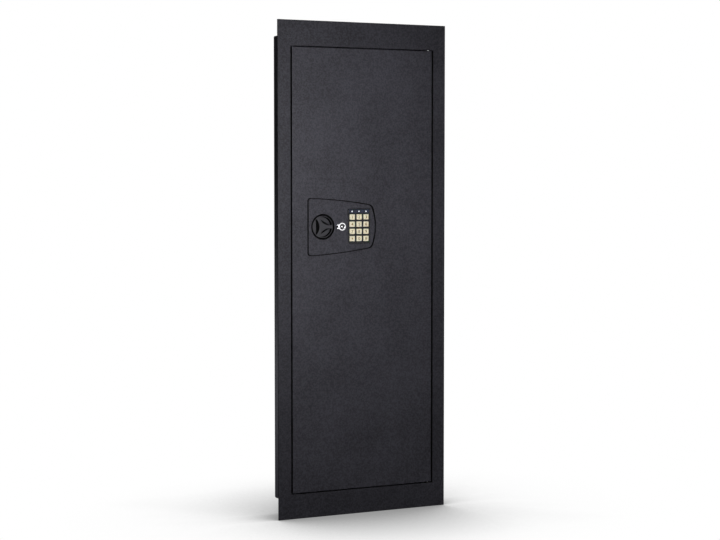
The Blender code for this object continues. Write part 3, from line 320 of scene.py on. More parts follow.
finish(
    "chrome", ((0.72, 0.72, 0.74), (0.86, 0.86, 0.88)), (0.14, 0.26), metallic=1.0, mottle=800,
    bumps=[("noise", 1100, 0.01)], wear=((0.95, 0.95, 0.96), 0.3),
)
finish(
    "bolt_steel", ((0.5, 0.5, 0.51), (0.68, 0.68, 0.7)), (0.2, 0.36), metallic=1.0, mottle=350,
    bumps=[("noise", 900, 0.02)], wear=((0.85, 0.85, 0.86), 0.4), stretch=(4, 1, 1),
)
finish(
    "zinc_steel", ((0.4, 0.41, 0.44), (0.6, 0.59, 0.55)), (0.3, 0.5), metallic=0.95, mottle=140,
    bumps=[("noise", 700, 0.02), ("cells", 90, 0.01)], wear=((0.78, 0.78, 0.78), 0.4),
)
finish(
    "copper_winding", ((0.42, 0.15, 0.05), (0.62, 0.27, 0.1)), (0.22, 0.34), metallic=0.9, mottle=900,
)
finish(
    "carpet", ((0.02, 0.02, 0.023), (0.06, 0.06, 0.066)), (0.9, 1.0), mottle=900,
    bumps=[("noise", 1300, 1.2), ("cells", 260, 0.8)], Sheen_Weight=0.35, Sheen_Roughness=0.6,
)
finish(
    "foam", ((0.014, 0.014, 0.016), (0.034, 0.034, 0.038)), (0.85, 0.97), mottle=1100,
    bumps=[("cells", 900, 0.7), ("noise", 300, 0.5)], Sheen_Weight=0.2,
)
finish(
    "red_plastic", ((0.38, 0.018, 0.012), (0.5, 0.03, 0.02)), (0.25, 0.38), mottle=900,
    bumps=[("noise", 2500, 0.02)], wear=((0.62, 0.12, 0.09), 0.3),
)
board_finish()
battery_finish()


# ---- pieces

def body_of(node):
    return frame["nodes"][node]["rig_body"]


def measured(node):
    """The low and the high corner of a node's box, and its centre."""
    low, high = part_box(node)
    return low, high, (low + high) / 2


def centre_of(node):
    return measured(node)[2]


def add_object(name, data):
    made = bpy.data.objects.new(name, data)
    bpy.context.scene.collection.objects.link(made)
    return made


def make_object(name, shape):
    mesh = bpy.data.meshes.new(name)
    shape.to_mesh(mesh)
    shape.free()
    return add_object(name, mesh)


def piece(name, shape, look, node=None, rides=None, sharp=35, shaded=None, stretched=None):
    """A shown piece. It stands for its node, or only rides with another's body. The faces that shaded picks
    take the look it names. A stretched piece is baked where it stands and rides no body; the bodies and
    points it is given are not used."""
    if shaded:
        shape.normal_update()
        for face in shape.faces:
            face.material_index = int(shaded[1](face))
    made = make_object(name, shape)
    made.data.materials.append(LOOKS[look])
    if shaded:
        made.data.materials.append(LOOKS[shaded[0]])
    made.data.shade_smooth()
    made.data.set_sharp_from_angle(angle=math.radians(sharp))
    even = made.modifiers.new("even_faces", "WEIGHTED_NORMAL")
    even.keep_sharp = True
    if stretched:
        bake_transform(made)
    else:
        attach(made, body_of(rides or node))
    if node:
        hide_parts(node)
    return made


# ---- shapes

def evaluated_shape(thing):
    """The thing's shape with its modifiers, as a closed bmesh. The thing itself is removed."""
    bpy.context.view_layer.update()
    mesh = bpy.data.meshes.new_from_object(thing.evaluated_get(bpy.context.evaluated_depsgraph_get()))
    shape = bmesh.new()
    shape.from_mesh(mesh)
    shape.transform(thing.matrix_world)
    bpy.data.meshes.remove(mesh)
    bpy.data.objects.remove(thing, do_unlink=True)
    bmesh.ops.remove_doubles(shape, verts=shape.verts, dist=MERGE)
    bmesh.ops.recalc_face_normals(shape, faces=shape.faces)
    return shape


def shape_of_curve(curve, place=Matrix.Identity(4)):
    """The shape of a curve or a letter put in its place."""
    drawn = add_object("drawn", curve)
    drawn.matrix_world = place
    return evaluated_shape(drawn)


def combine(shape, tools, operation="DIFFERENCE"):
    """The shape cut by the tools, or joined to them."""
    thing = make_object("combined", shape)
    cutters = [make_object("cutter", tool) for tool in tools]
    for cutter in cutters:
        step = thing.modifiers.new("step", "BOOLEAN")
        step.operation = operation
        step.solver = "EXACT"
        step.object = cutter
    result = evaluated_shape(thing)
    for cutter in cutters:
        bpy.data.objects.remove(cutter, do_unlink=True)
    return result


def soften(shape, width, angle=60):
    """Rounds every edge sharper than the angle."""
    thing = make_object("soft", shape)
    bevel = thing.modifiers.new("soft", "BEVEL")
    bevel.width = width
    bevel.segments = 2
    bevel.limit_method = "ANGLE"
    bevel.angle_limit = math.radians(angle)
    bevel.use_clamp_overlap = False
    return evaluated_shape(thing)


def block(low, high, radius, segments, square_end=0):
    """A box with rounded edges, apart from those of its square end: -1 is its front end and 1 its back."""
    low, high = Vector(low), Vector(high)
    shape = bmesh.new()
    bmesh.ops.create_cube(shape, size=1.0)
    bmesh.ops.scale(shape, vec=high - low, verts=shape.verts)
    bmesh.ops.translate(shape, vec=(low + high) / 2, verts=shape.verts)
    edges = list(shape.edges)
    if square_end:
        level = high.y if square_end > 0 else low.y
        edges = [edge for edge in edges if any(abs(end.co.y - level) > MERGE for end in edge.verts)]
    bmesh.ops.bevel(
        shape, geom=edges, offset=radius, segments=segments, profile=0.5, affect="EDGES", clamp_overlap=True
    )
    return shape


def hollow(low, high, wall, radius, segments, open_end):
    """A tool that empties a box down to its walls, and runs out through its open end."""
    inner_low = low + Vector((wall,) * 3)
    inner_high = high - Vector((wall,) * 3)
    if open_end > 0:
        inner_high.y = high.y + OVERRUN
    else:
        inner_low.y = low.y - OVERRUN
    return block(inner_low, inner_high, radius, segments, open_end)


def stack(loops, wrap=False):
    """Joins loops of equally many points into a skin, capped at both ends or wrapped back to the start."""
    shape = bmesh.new()
    rows = [[shape.verts.new(point) for point in loop] for loop in loops]
    pairs = list(zip(rows, rows[1:]))
    if wrap:
        pairs.append((rows[-1], rows[0]))
    count = len(rows[0])
    for lower, upper in pairs:
        for index in range(count):
            after = (index + 1) % count
            shape.faces.new((lower[index], lower[after], upper[after], upper[index]))
    if not wrap:
        shape.faces.new(rows[0])
        shape.faces.new(rows[-1])
    bmesh.ops.remove_doubles(shape, verts=shape.verts, dist=MERGE)
    bmesh.ops.recalc_face_normals(shape, faces=shape.faces)
    return shape


def curve_between(start, corner, end, steps):
    points = []
    for step in range(steps + 1):
        share = step / steps
        point = start * (1 - share) ** 2 + corner * 2 * share * (1 - share) + end * share ** 2
        points.append(tuple(point))
    return points


def rounded_path(points, radius, steps, closed=False):
    """The path with each corner swapped for a curve that starts about one radius before it."""
    longest_share = 0.45
    result = []
    count = len(points)
    for index, corner in enumerate(points):
        if not closed and index in (0, count - 1):
            result.append(tuple(corner))
            continue
        corner = Vector(corner)
        before, after = Vector(points[index - 1]) - corner, Vector(points[(index + 1) % count]) - corner
        reach = min(radius, before.length * longest_share, after.length * longest_share)
        start, end = corner + before.normalized() * reach, corner + after.normalized() * reach
        result += curve_between(start, corner, end, steps)
    return result


def rounded_rectangle(low, high, radius, steps=5, grow=0.0):
    """The outline of a box seen from the front, with round corners. It can be grown on every side."""
    left, right = low.x - grow, high.x + grow
    bottom, top = low.z - grow, high.z + grow
    corners = [(left, bottom), (right, bottom), (right, top), (left, top)]
    return rounded_path(corners, radius, steps, closed=True)


def circle(centre, radius, sides):
    """A circle seen from the front."""
    turns = [2 * math.pi * count / sides for count in range(sides)]
    return [(centre.x + radius * math.cos(turn), centre.z + radius * math.sin(turn)) for turn in turns]


def ring_points(centre, axis, radius, along, sides):
    """A circle of points round an axis through the centre, at a place along that axis."""
    first, second = {"X": (1, 2), "Y": (2, 0), "Z": (0, 1)}[axis]
    points = []
    for count in range(sides):
        turn = 2 * math.pi * count / sides
        point = Vector(centre)
        point["XYZ".index(axis)] = along
        point[first] += radius * math.cos(turn)
        point[second] += radius * math.sin(turn)
        points.append(point)
    return points


def turned(profile, centre, axis, sides=64, rounding=0.3 * MM, steps=3):
    """A turned shape. Its profile lists (radius, place along the axis), and off the axis it makes a ring."""
    ring = profile[0][0] > 0
    path = rounded_path(profile, rounding, steps, closed=ring)
    return stack([ring_points(centre, axis, radius, along, sides) for radius, along in path], wrap=ring)


def tube_tool(centre, axis, radius, start, end, sides=40):
    return stack([ring_points(centre, axis, radius, along, sides) for along in (start, end)])


def profile_of(low, high, near, far):
    """A turned profile in millimetres. Its first part lists (radius, place after the low end), and its second
    part (radius, place before the high end)."""
    start = [(radius * MM, low + place * MM) for radius, place in near]
    return start + [(radius * MM, high - place * MM) for radius, place in far]


STANDING = Matrix.Rotation(math.radians(90), 4, "X")


def plate(outlines, front, back, edge, edge_steps=2, lying=False):
    """A plate with round edges between two levels. The first outline is its edge, the others are its holes.
    It stands in the XZ plane, from front to back along Y, or lies in the XY plane."""
    curve = bpy.data.curves.new("plate", "CURVE")
    curve.dimensions = "2D"
    curve.fill_mode = "BOTH"
    curve.extrude = (back - front) / 2 - edge
    curve.bevel_depth = edge
    curve.bevel_resolution = edge_steps
    curve.offset = -edge
    for outline in outlines:
        spline = curve.splines.new("POLY")
        spline.points.add(len(outline) - 1)
        spline.use_cyclic_u = True
        for point, (across, up) in zip(spline.points, outline):
            point.co = (across, up, 0, 1)
    level = (front + back) / 2
    if lying:
        return shape_of_curve(curve, Matrix.Translation((0, 0, level)))
    return shape_of_curve(curve, Matrix.Translation((0, level, 0)) @ STANDING)


def uneven(shape, low, high, spacing, height, scale):
    """Cuts a soft thing's faces along evenly spaced planes, and moves its points by smooth noise."""
    for axis in range(3):
        normal = Vector((0, 0, 0))
        normal[axis] = 1
        count = int((high[axis] - low[axis]) / spacing)
        for step in range(1, count + 1):
            place = Vector(low)
            place[axis] += (high[axis] - low[axis]) * step / (count + 1)
            geometry = shape.verts[:] + shape.edges[:] + shape.faces[:]
            bmesh.ops.bisect_plane(shape, geom=geometry, dist=MERGE, plane_co=place, plane_no=normal)
    shape.normal_update()
    moves = [vertex.normal * height * noise.noise(vertex.co * scale) for vertex in shape.verts]
    for vertex, move in zip(shape.verts, moves):
        vertex.co += move
    return shape


def refined(node, look, edge):
    """A fine copy of a node whose plain shape is right: flat faces made whole, and every edge rounded."""
    shape = bmesh.new()
    shape.from_mesh(frame["nodes"][node].data)
    bmesh.ops.remove_doubles(shape, verts=shape.verts, dist=MERGE)
    one_degree = math.radians(1)
    bmesh.ops.dissolve_limit(shape, angle_limit=one_degree, verts=shape.verts, edges=shape.edges)
    shape = soften(shape, edge, angle=50)
    bmesh.ops.connect_verts_concave(shape, faces=shape.faces)
    piece(f"{node}_surface", shape, look, node)


# ---- cabinet

def make_flange():
    """The trim flange. Its narrow edges, with the curves round its outline, take a near-black painted shade.
    """
    low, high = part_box("front_flange")
    door_low, door_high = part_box("door_skin")
    seam = Vector((SIDE_SEAM, 0, END_SEAM))
    opening_low, opening_high = door_low - seam, door_high + seam
    edge = rounded_rectangle(low, high, FLANGE_CORNER)
    opening = rounded_rectangle(opening_low, opening_high, FLANGE_CORNER)
    shape = plate([edge, opening], low.y, high.y, FLANGE_EDGE, edge_steps=3)
    outer_band, sideways, whole_curve = 1 * MM, 0.35, 0.95

    # Outer edges and side faces take painted shade
    def in_painted_shade(face):
        place = face.calc_center_median()
        to_edge = min(place.x - low.x, high.x - place.x, place.z - low.z, high.z - place.z)
        outer_or_side = to_edge < outer_band or abs(face.normal.x) > sideways
        return abs(face.normal.y) < (whole_curve if outer_or_side else FACING)

    painted_shade_faces = ("painted_seam_shade", in_painted_shade)
    piece("front_flange_surface", shape, "flange_coat", "front_flange", shaded=painted_shade_faces)
    make_returns(opening_low.x, opening_high.x)


def make_returns(left, right):
    """The flange's edge folded back along both sides of the opening, near black as painted shade in the
    seams.
    """
    thickness, depth = 1.2 * MM, 10 * MM
    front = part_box("front_flange")[1].y
    door_low, door_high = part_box("door_skin")
    for name, start, end in (("left", left - thickness, left), ("right", right, right + thickness)):
        shape = block((start, front, door_low.z), (end, front + depth, door_high.z), 0.4 * MM, 3)
        piece(f"flange_return_{name}", shape, "painted_seam_shade", rides="front_flange")


def make_shell():
    """The cabinet: folded sheet, open at the front, with a hole for a screw into each stud at two heights."""
    low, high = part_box("body_shell")
    wall = 1.5 * MM
    hole_radius, hole_depth, hole_heights = 4 * MM, 37.5 * MM, (218 * MM, 788 * MM)
    shape = block(low, high, SHELL_FOLD, 5, -1)
    shape = combine(shape, [hollow(low, high, wall, SHELL_FOLD - wall, 4, -1)])
    drills = []
    for height in hole_heights:
        place = (0, low.y + hole_depth, low.z + height)
        for side in (low.x, high.x):
            drills.append(tube_tool(place, "X", hole_radius, side - OVERRUN, side + OVERRUN))
    shape = soften(combine(shape, drills), SHEET_EDGE)
    piece("body_shell_surface", shape, "powder_coat", "body_shell")
    make_weld_beads(low, high)


def make_weld_beads(low, high):
    """Short stitch welds in the corner between the flange's back and the cabinet's sides."""
    outward = 0.6 * MM
    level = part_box("front_flange")[1].y + outward
    upright_spaces, lying_spaces = 8, 4
    stitches = []
    for count in range(1, upright_spaces):
        height = low.z + (high.z - low.z) * count / upright_spaces
        stitches += [((side, level, height), "Z") for side in (low.x - outward, high.x + outward)]
    for count in range(1, lying_spaces):
        across = low.x + (high.x - low.x) * count / lying_spaces
        stitches += [((across, level, side), "X") for side in (low.z - outward, high.z + outward)]
    for count, (centre, axis) in enumerate(stitches, 1):
        piece(f"weld_bead_{count}", weld_bead(centre, axis), "powder_coat", rides="body_shell")


def weld_bead(centre, axis):
    """A rippled bead along an axis, tapered over a share of its length at both ends."""
    half_length, radius, end_radius = 13 * MM, 1.9 * MM, 0.05 * MM
    ripples, ripple_height, taper = 26, 0.09, 0.12
    start = centre["XYZ".index(axis)] - half_length
    loops = []
    for step in range(ripples + 1):
        share = step / ripples
        swell = math.sin(math.pi / 2 * min(share, 1 - share, taper) / taper)
        ripple = 1 + ripple_height * math.cos(step * math.pi)
        thickness = radius * swell * ripple + end_radius
        loops.append(ring_points(centre, axis, thickness, start + 2 * half_length * share, 14))
    return stack(loops)


def make_carpet():
    """The felt on the back wall, with a slightly uneven pile."""
    low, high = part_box("back_liner")
    shape = uneven(block(low, high, 0.9 * MM, 2), low, high, spacing=9 * MM, height=0.5 * MM, scale=55)
    piece("back_liner_felt", shape, "carpet", "back_liner", sharp=80)


def make_floor_pad():
    """The foam the butts stand on, with round edges and shallow dents."""
    low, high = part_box("floor_pad")
    shape = uneven(block(low, high, 3.5 * MM, 4), low, high, spacing=6 * MM, height=0.9 * MM, scale=40)
    piece("floor_pad_foam", shape, "foam", "floor_pad", sharp=80)


def make_barrel_rest():
    """The foam rack, with round notches in its front edge."""
    low, high, centre = measured("barrel_rest")
    notches, notch_radius, pitch, steps = 5, 15 * MM, 62 * MM, 12
    outline = [(low.x, high.y), (low.x, low.y)]
    for count in range(notches):
        notch = centre.x + (count - notches // 2) * pitch
        for step in range(steps + 1):
            turn = math.pi * step / steps
            outline.append((notch - notch_radius * math.cos(turn), low.y + notch_radius * math.sin(turn)))
    outline += [(high.x, low.y), (high.x, high.y)]
    outline = rounded_path(outline, 2.2 * MM, 3, closed=True)
    shape = plate([outline], low.z, high.z, edge=2.4 * MM, edge_steps=3, lying=True)
    shape = uneven(shape, low, high, spacing=5 * MM, height=0.6 * MM, scale=60)
    piece("barrel_rest_foam", shape, "foam", "barrel_rest", sharp=80)


# ---- lock panel

def bowed(start, end, bow, steps):
    """Points along a side that bows out to its right, short of its ends by the panel's corners."""
    along = end - start
    side = Vector((along.y, -along.x)).normalized()
    first = PANEL_CORNER / along.length
    shares = [first + (1 - 2 * first) * step / steps for step in range(steps + 1)]
    return [start + along * share + side * bow * 4 * share * (1 - share) for share in shares]


def panel_outline(grow, grow_up):
    """The lock panel's D: straight on the left, gently bowed above and below, bulging on the right. It is
    grown sideways, and up and down."""
    low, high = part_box("lock_panel")
    left, right = low.x + PANEL_RIM - grow, high.x - PANEL_RIM - PANEL_BULGE + grow
    middle = (low.z + high.z) / 2
    half_left = (high.z - low.z) / 2 - PANEL_RIM + grow_up
    half_right = PANEL_HALF_RIGHT + grow_up
    corners = [Vector((left, middle - half_left)), Vector((right, middle - half_right))]
    corners += [Vector((right, middle + half_right)), Vector((left, middle + half_left))]
    sides = []
    for index, (bow, steps) in enumerate(((PANEL_CROWN, 14), (PANEL_BULGE, 24), (PANEL_CROWN, 14), (0.0, 2))):
        sides.append(bowed(corners[index], corners[(index + 1) % 4], bow, steps))
    outline = []
    for index, side in enumerate(sides):
        outline += curve_between(sides[index - 1][-1], corners[index], side[0], 5)[1:-1]
        outline += [tuple(point) for point in side]
    return outline


def make_lock_panel():
    """The panel's face with its side faces in painted shade, the rim at the bottom of the groove round it,
    black as painted shade, and the cup the dial turns in.
    """
    low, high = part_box("lock_panel")
    knob, plug = centre_of("knob"), centre_of("key_plug")
    lock_hole, rim_front, rim_back = 8.3 * MM, low.y + 2.4 * MM, low.y + 4.3 * MM
    holes = [
        circle(knob, DIAL_HOLE_RADIUS, 96),
        circle(plug, lock_hole, 48),
        rounded_rectangle(*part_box("keypad_frame"), radius=1.2 * MM, grow=0.3 * MM),
    ]
    detent = circle(plug - Vector((DETENT_REACH, 0, 0)), DETENT_RADIUS, 32)
    outlines = [panel_outline(0, 0), detent] + holes
    face = plate(outlines, low.y, low.y + PANEL_FACE_DEPTH, PANEL_EDGE, edge_steps=3)
    # The panel's side faces and hole edges take painted seam shade
    painted_shade_faces = ("painted_seam_shade", lambda side: abs(side.normal.y) < FACING)
    piece("lock_panel_face", face, "powder_coat", "lock_panel", shaded=painted_shade_faces)
    # The groove's floor is a rim in black painted shade
    rim = plate([panel_outline(PANEL_RIM, PANEL_RIM)] + holes, rim_front, rim_back, edge=0.3 * MM)
    piece("lock_panel_rim", rim, "painted_shade_black", rides="lock_panel")
    make_well(low.y, high.y, knob)


def make_well(front, back, centre):
    """The cup behind the panel, with a wider lip and a hole for the dial's spindle, all black as painted
    shade.
    """
    outer, lip, spindle_hole = WELL_RADIUS + WELL_WALL, WELL_RADIUS + 0.8 * MM, 4.6 * MM
    lip_front, shoulder = front + 2.2 * MM, front + 4 * MM
    floor = back - WELL_WALL
    profile = [
        (outer, shoulder), (outer, back), (spindle_hole, back), (spindle_hole, floor),
        (WELL_RADIUS, floor), (WELL_RADIUS, lip_front), (lip, lip_front), (lip, shoulder),
    ]
    piece("knob_well", turned(profile, centre, "Y", 96), "painted_shade_black", rides="lock_panel")


# ---- dial

def scoop_depth(across, up, radius):
    """How deep the dial's face lies at a point measured from its middle. Each of the three scoops has a flat
    floor, a wall towards the arms that is widest in its middle, and a steep wall under the rim."""
    place = Vector((across, up))
    under_rim = min(max((SCOOP_RIM - place.length) / SCOOP_RIM_WALL, 0.0), 1.0)
    deepest = 0.0
    for turn in SCOOP_TURNS:
        outward = Vector((math.cos(math.radians(turn)), math.sin(math.radians(turn))))
        inside = SCOOP_RADIUS * radius - (place - outward * SCOOP_CENTRE * radius).length
        if inside > 0:
            before_floor = max(SCOOP_FLOOR - place.dot(outward), 0.0)
            deepest = max(deepest, SCOOP_DEPTH * min(inside / (inside + before_floor), under_rim))
    return deepest


def make_dial():
    """The knob: a bevelled disc whose scoops leave three raised arms. Its steep faces are painted black as
    shade.
    """
    low, high, centre = measured("knob")
    radius = (high.x - low.x) / 2
    sides, rings = 288, 76
    bevel_inset, back_inset, back_height, steep = 0.2 * MM, 0.6 * MM, 0.5 * MM, 0.82
    loops = []
    for ring in range(rings + 1):
        loop = ring_points(centre, "Y", DIAL_FACE * ring / rings, low.y, sides)
        for point in loop:
            point.y += scoop_depth(point.x - centre.x, point.z - centre.z, radius)
        loops.append(loop)
    rim = [(DIAL_FACE, low.y), (radius - bevel_inset, low.y + DIAL_BEVEL)]
    rim += [(radius, high.y - back_height), (radius - back_inset, high.y), (0, high.y)]
    for ring, along in rounded_path(rim, 0.5 * MM, 3)[1:]:
        loops.append(ring_points(centre, "Y", ring, along, sides))
    # Steep faces take painted black shade
    black = ("painted_shade_black", lambda face: abs(face.normal.y) < steep)
    piece("knob_dial", stack(loops), "dial_plastic", "knob", sharp=50, shaded=black)


# ---- key lock

def collar_outline(centre, radius, ear_tip):
    """A circle with a forked ear on its left."""
    ear_half, slot_half, slot_floor = 5.2 * MM, 2.1 * MM, 9.3 * MM
    steps = 60
    meet = math.asin(ear_half / radius)
    sweep = [-math.pi + meet + 2 * (math.pi - meet) * step / steps for step in range(steps + 1)]
    arc = [(centre.x + radius * math.cos(turn), centre.z + radius * math.sin(turn)) for turn in sweep]
    fork = [(ear_tip, ear_half), (ear_tip, slot_half), (slot_floor, slot_half)]
    fork += [(across, -up) for across, up in reversed(fork)]
    ear = [arc[-1]] + [(centre.x - across, centre.z + up) for across, up in fork] + [arc[0]]
    return arc[1:-1] + rounded_path(ear, 0.7 * MM, 4)


def make_key_lock():
    """The polished collar with its forked ear, the barrel behind it, and the plug that turns in them."""
    low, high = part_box("key_lock_housing")
    centre = centre_of("key_plug")
    barrel_radius, bore_radius, barrel_front = 8 * MM, 6 * MM, low.y + 0.8 * MM
    collar_back = low.y + 1.3 * MM
    outline = collar_outline(centre, high.x - centre.x, centre.x - low.x)
    collar = plate([outline, circle(centre, bore_radius, 60)], low.y, collar_back, 0.42 * MM, edge_steps=3)
    piece("key_lock_collar", collar, "chrome", "key_lock_housing")
    profile = [(barrel_radius, barrel_front), (barrel_radius, high.y)]
    profile += [(bore_radius, high.y), (bore_radius, barrel_front)]
    piece("key_lock_barrel", turned(profile, centre, "Y"), "chrome", rides="key_lock_housing")
    make_key_plug()


def make_key_plug():
    """The tubular plug: its keyway is a ring round a post, painted dark as shade."""
    low, high, centre = measured("key_plug")
    radius = (high.x - low.x) / 2
    post, groove, floor, back = 2.2 * MM, 4.8 * MM, low.y + 4.6 * MM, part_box("key_cam")[0].y
    polished_lip, play = 0.5 * MM, 0.1 * MM
    profile = [
        (0, low.y), (post, low.y), (post, floor), (groove, floor),
        (groove, low.y), (radius, low.y), (radius, back), (0, back),
    ]

    # The keyway's walls and floor take painted shade
    def in_keyway(face):
        place = face.calc_center_median()
        across = math.hypot(place.x - centre.x, place.z - centre.z)
        return post < across < groove + play and place.y > low.y + polished_lip

    shape = turned(profile, centre, "Y", 64, 0.35 * MM, 4)
    piece("key_plug_turned", shape, "chrome", "key_plug", shaded=("painted_shade_black", in_keyway))


# ---- keypad

KEY_NAMES = ("1", "2", "3", "4", "5", "6", "7", "8", "9", "star", "0", "hash")
KEY_MARKS = {"star": "*", "hash": "#"}
LAMPS = ("led_left", "led_middle", "led_right")
# A key's section in millimetres: how far in from its outline and how deep behind its front each line of it
# lies, from the back forwards and into the dish
KEY_SECTION = (
    (0.0, 1.9), (0.1, 0.9), (0.3, 0.4), (0.65, 0.12), (1.1, 0.0), (1.7, 0.02), (3.2, 0.22), (5.0, 0.34)
)


def make_keypad():
    """The bezel with a hole for each key and for the window, the window, and the three domed lights."""
    low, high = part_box("keypad_frame")
    window_low, window_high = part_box("indicator_window")
    gap, lamp_hole, window_thickening, dome_height = 0.35 * MM, 1.65 * MM, 1.5 * MM, 0.9 * MM
    holes = [rounded_rectangle(*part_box(f"key_{name}"), 0.9 * MM, 3, gap) for name in KEY_NAMES]
    holes.append(rounded_rectangle(window_low, window_high, 0.7 * MM, 3, gap))
    bezel = plate([rounded_rectangle(low, high, 1.5 * MM)] + holes, low.y, high.y, edge=0.35 * MM)
    piece("keypad_bezel", bezel, "black_plastic", "keypad_frame")
    outlines = [rounded_rectangle(window_low, window_high, 0.6 * MM, 3)]
    outlines += [circle(centre_of(lamp), lamp_hole, 32) for lamp in LAMPS]
    window = plate(outlines, window_low.y, window_high.y + window_thickening, edge=0.2 * MM)
    piece("indicator_window_lens", window, "navy_window", "indicator_window")
    for lamp in LAMPS:
        lamp_low, lamp_high, centre = measured(lamp)
        radius = (lamp_high.x - lamp_low.x) / 2
        profile = []
        for degrees in range(0, 91, 15):
            turn = math.radians(degrees)
            profile.append((radius * math.sin(turn), lamp_low.y + dome_height * (1 - math.cos(turn))))
        profile += [(radius, lamp_high.y), (0, lamp_high.y)]
        piece(f"{lamp}_dome", turned(profile, centre, "Y", 40, 0.05 * MM, 1), "led_white", lamp)


def make_keys():
    """Twelve keys, each with soft edges and a shallow dish, and its mark as a thin raised print."""
    widest_corner, least_corner, corner_loss = 1.5 * MM, 0.35 * MM, 0.6
    for name in KEY_NAMES:
        low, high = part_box(f"key_{name}")
        levels = [(0.0, high.y)] + [(inset * MM, low.y + depth * MM) for inset, depth in KEY_SECTION]
        loops = []
        for inset, along in levels:
            corner = max(widest_corner - inset * corner_loss, least_corner)
            loop = rounded_rectangle(low, high, corner, grow=-inset)
            loops.append([(across, along, up) for across, up in loop])
        piece(f"key_{name}_cap", stack(loops), "cream_plastic", f"key_{name}", sharp=60)
        make_mark(name, KEY_MARKS.get(name, name))


def make_mark(name, text):
    """A key's mark, printed a little below its front so that its face stands just over the dish."""
    low, _, centre = measured(f"key_{name}")
    letter = bpy.data.curves.new(f"mark_{name}", "FONT")
    letter.body = text
    letter.size = 9.4 * MM
    letter.align_x = "CENTER"
    letter.align_y = "CENTER"
    letter.extrude = 0.14 * MM
    letter.offset = 0.14 * MM
    letter.resolution_u = 6
    shape = shape_of_curve(letter, STANDING)
    points = [vertex.co for vertex in shape.verts]
    middle = Vector([(min(p[axis] for p in points) + max(p[axis] for p in points)) / 2 for axis in range(3)])
    target = Vector((centre.x, low.y + 0.3 * MM, centre.z))
    bmesh.ops.translate(shape, vec=target - middle, verts=shape.verts)
    piece(f"key_{name}_mark", shape, "digit_ink", rides=f"key_{name}")


# ---- door

def make_door_skin():
    """The folded pan, its D-shaped window a groove wider than the lock panel, and its two hinge bores."""
    low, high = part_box("door_skin")
    wall, window_depth, bore_overrun, bore_depth, play = 2 * MM, 5 * MM, 2 * MM, 4 * MM, 0.3 * MM
    pin_low, pin_high, pin = measured("hinge_pin_top")
    bore = (pin_high.x - pin_low.x) / 2 + play
    window = panel_outline(PANEL_SIDE_GROOVE, PANEL_END_GROOVE)
    tools = [
        hollow(low, high, wall, 0.4 * MM, 2, 1),
        plate([window], low.y - OVERRUN, low.y + window_depth, edge=0.1 * MM),
        tube_tool(pin, "Z", bore, low.z - bore_overrun, low.z + bore_depth),
        tube_tool(pin, "Z", bore, high.z - bore_depth, high.z + bore_overrun),
    ]
    shape = soften(combine(block(low, high, DOOR_FOLD, 4, 1), tools), SHEET_EDGE)

    # The side lips and the window's edges take painted seam shade
    def in_seam(face):
        place, normal = face.calc_center_median(), face.normal
        between_lips = low.x + wall < place.x < high.x - wall
        on_side_lip = abs(normal.x) > FACING and not between_lips
        on_window = abs(normal.y) < FACING and place.y < low.y + wall and between_lips
        return on_side_lip or on_window and low.z + wall < place.z < high.z - wall

    piece("door_skin_surface", shape, "powder_coat", "door_skin", shaded=("painted_seam_shade", in_seam))


def make_cover():
    """The moulded mechanism cover: soft corners, grip grooves across its upper part, and its openings."""
    low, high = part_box("mechanism_cover")
    wall, fold, inner_fold, moulded_edge = 1.5 * MM, 4 * MM, 2.5 * MM, 0.3 * MM
    near, far = high.y - OVERRUN, high.y + OVERRUN
    arm_low = Vector((low.x - OVERRUN, low.y + 4.4 * MM, low.z + 128 * MM))
    arm_high = Vector((low.x + 4 * MM, low.y + 10.4 * MM, low.z + 186 * MM))
    battery_low, battery_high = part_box("battery_case")
    battery_inset = Vector((2 * MM, 0, 0.75 * MM))
    battery_low, battery_high = battery_low + battery_inset, battery_high - battery_inset
    battery_low.y, battery_high.y = near, far
    tools = [
        block(arm_low, arm_high, 1 * MM, 2),
        block(battery_low, battery_high, 1.5 * MM, 3),
        tube_tool(centre_of("reset_button"), "Y", 3.6 * MM, near, far),
    ]
    for count in (1, 2):
        tools.append(tube_tool(centre_of(f"cover_screw_{count}"), "Y", 2.5 * MM, near, far, 32))
    grooves, groove_start, groove_pitch, groove_width = 9, 132 * MM, 16 * MM, 3 * MM
    groove_depth, groove_inset = 0.7 * MM, 16 * MM
    for groove in range(grooves):
        level = low.z + groove_start + groove * groove_pitch
        groove_low = (low.x + groove_inset, high.y - groove_depth, level)
        tools.append(block(groove_low, (high.x - groove_inset, far, level + groove_width), 1 * MM, 3))
    shape = combine(block(low, high, fold, 6, -1), [hollow(low, high, wall, inner_fold, 4, -1)])
    shape = soften(combine(shape, tools), moulded_edge)
    piece("mechanism_cover_moulding", shape, "black_plastic", "mechanism_cover")


def make_cover_screws():
    """Pan-head screws with a cross recess."""
    cross_depth, long, thin = 1.3 * MM, 2.1 * MM, 0.42 * MM
    tip_and_thread = ((0, 0), (1.4, 0), (2, 0.8))
    head = ((2, 2), (4, 2), (4, 1.1), (2.6, 0.15), (0, 0))
    for node in ("cover_screw_1", "cover_screw_2"):
        low, high, centre = measured(node)
        shape = turned(profile_of(low.y, high.y, tip_and_thread, head), centre, "Y", 64, 0.4 * MM)
        cross = []
        for half_x, half_z in ((long, thin), (thin, long)):
            start = (centre.x - half_x, high.y - cross_depth, centre.z - half_z)
            end = (centre.x + half_x, high.y + OVERRUN, centre.z + half_z)
            cross.append(block(start, end, 0.2 * MM, 2))
        piece(f"{node}_head", soften(combine(shape, cross), 0.1 * MM), "zinc_steel", node)


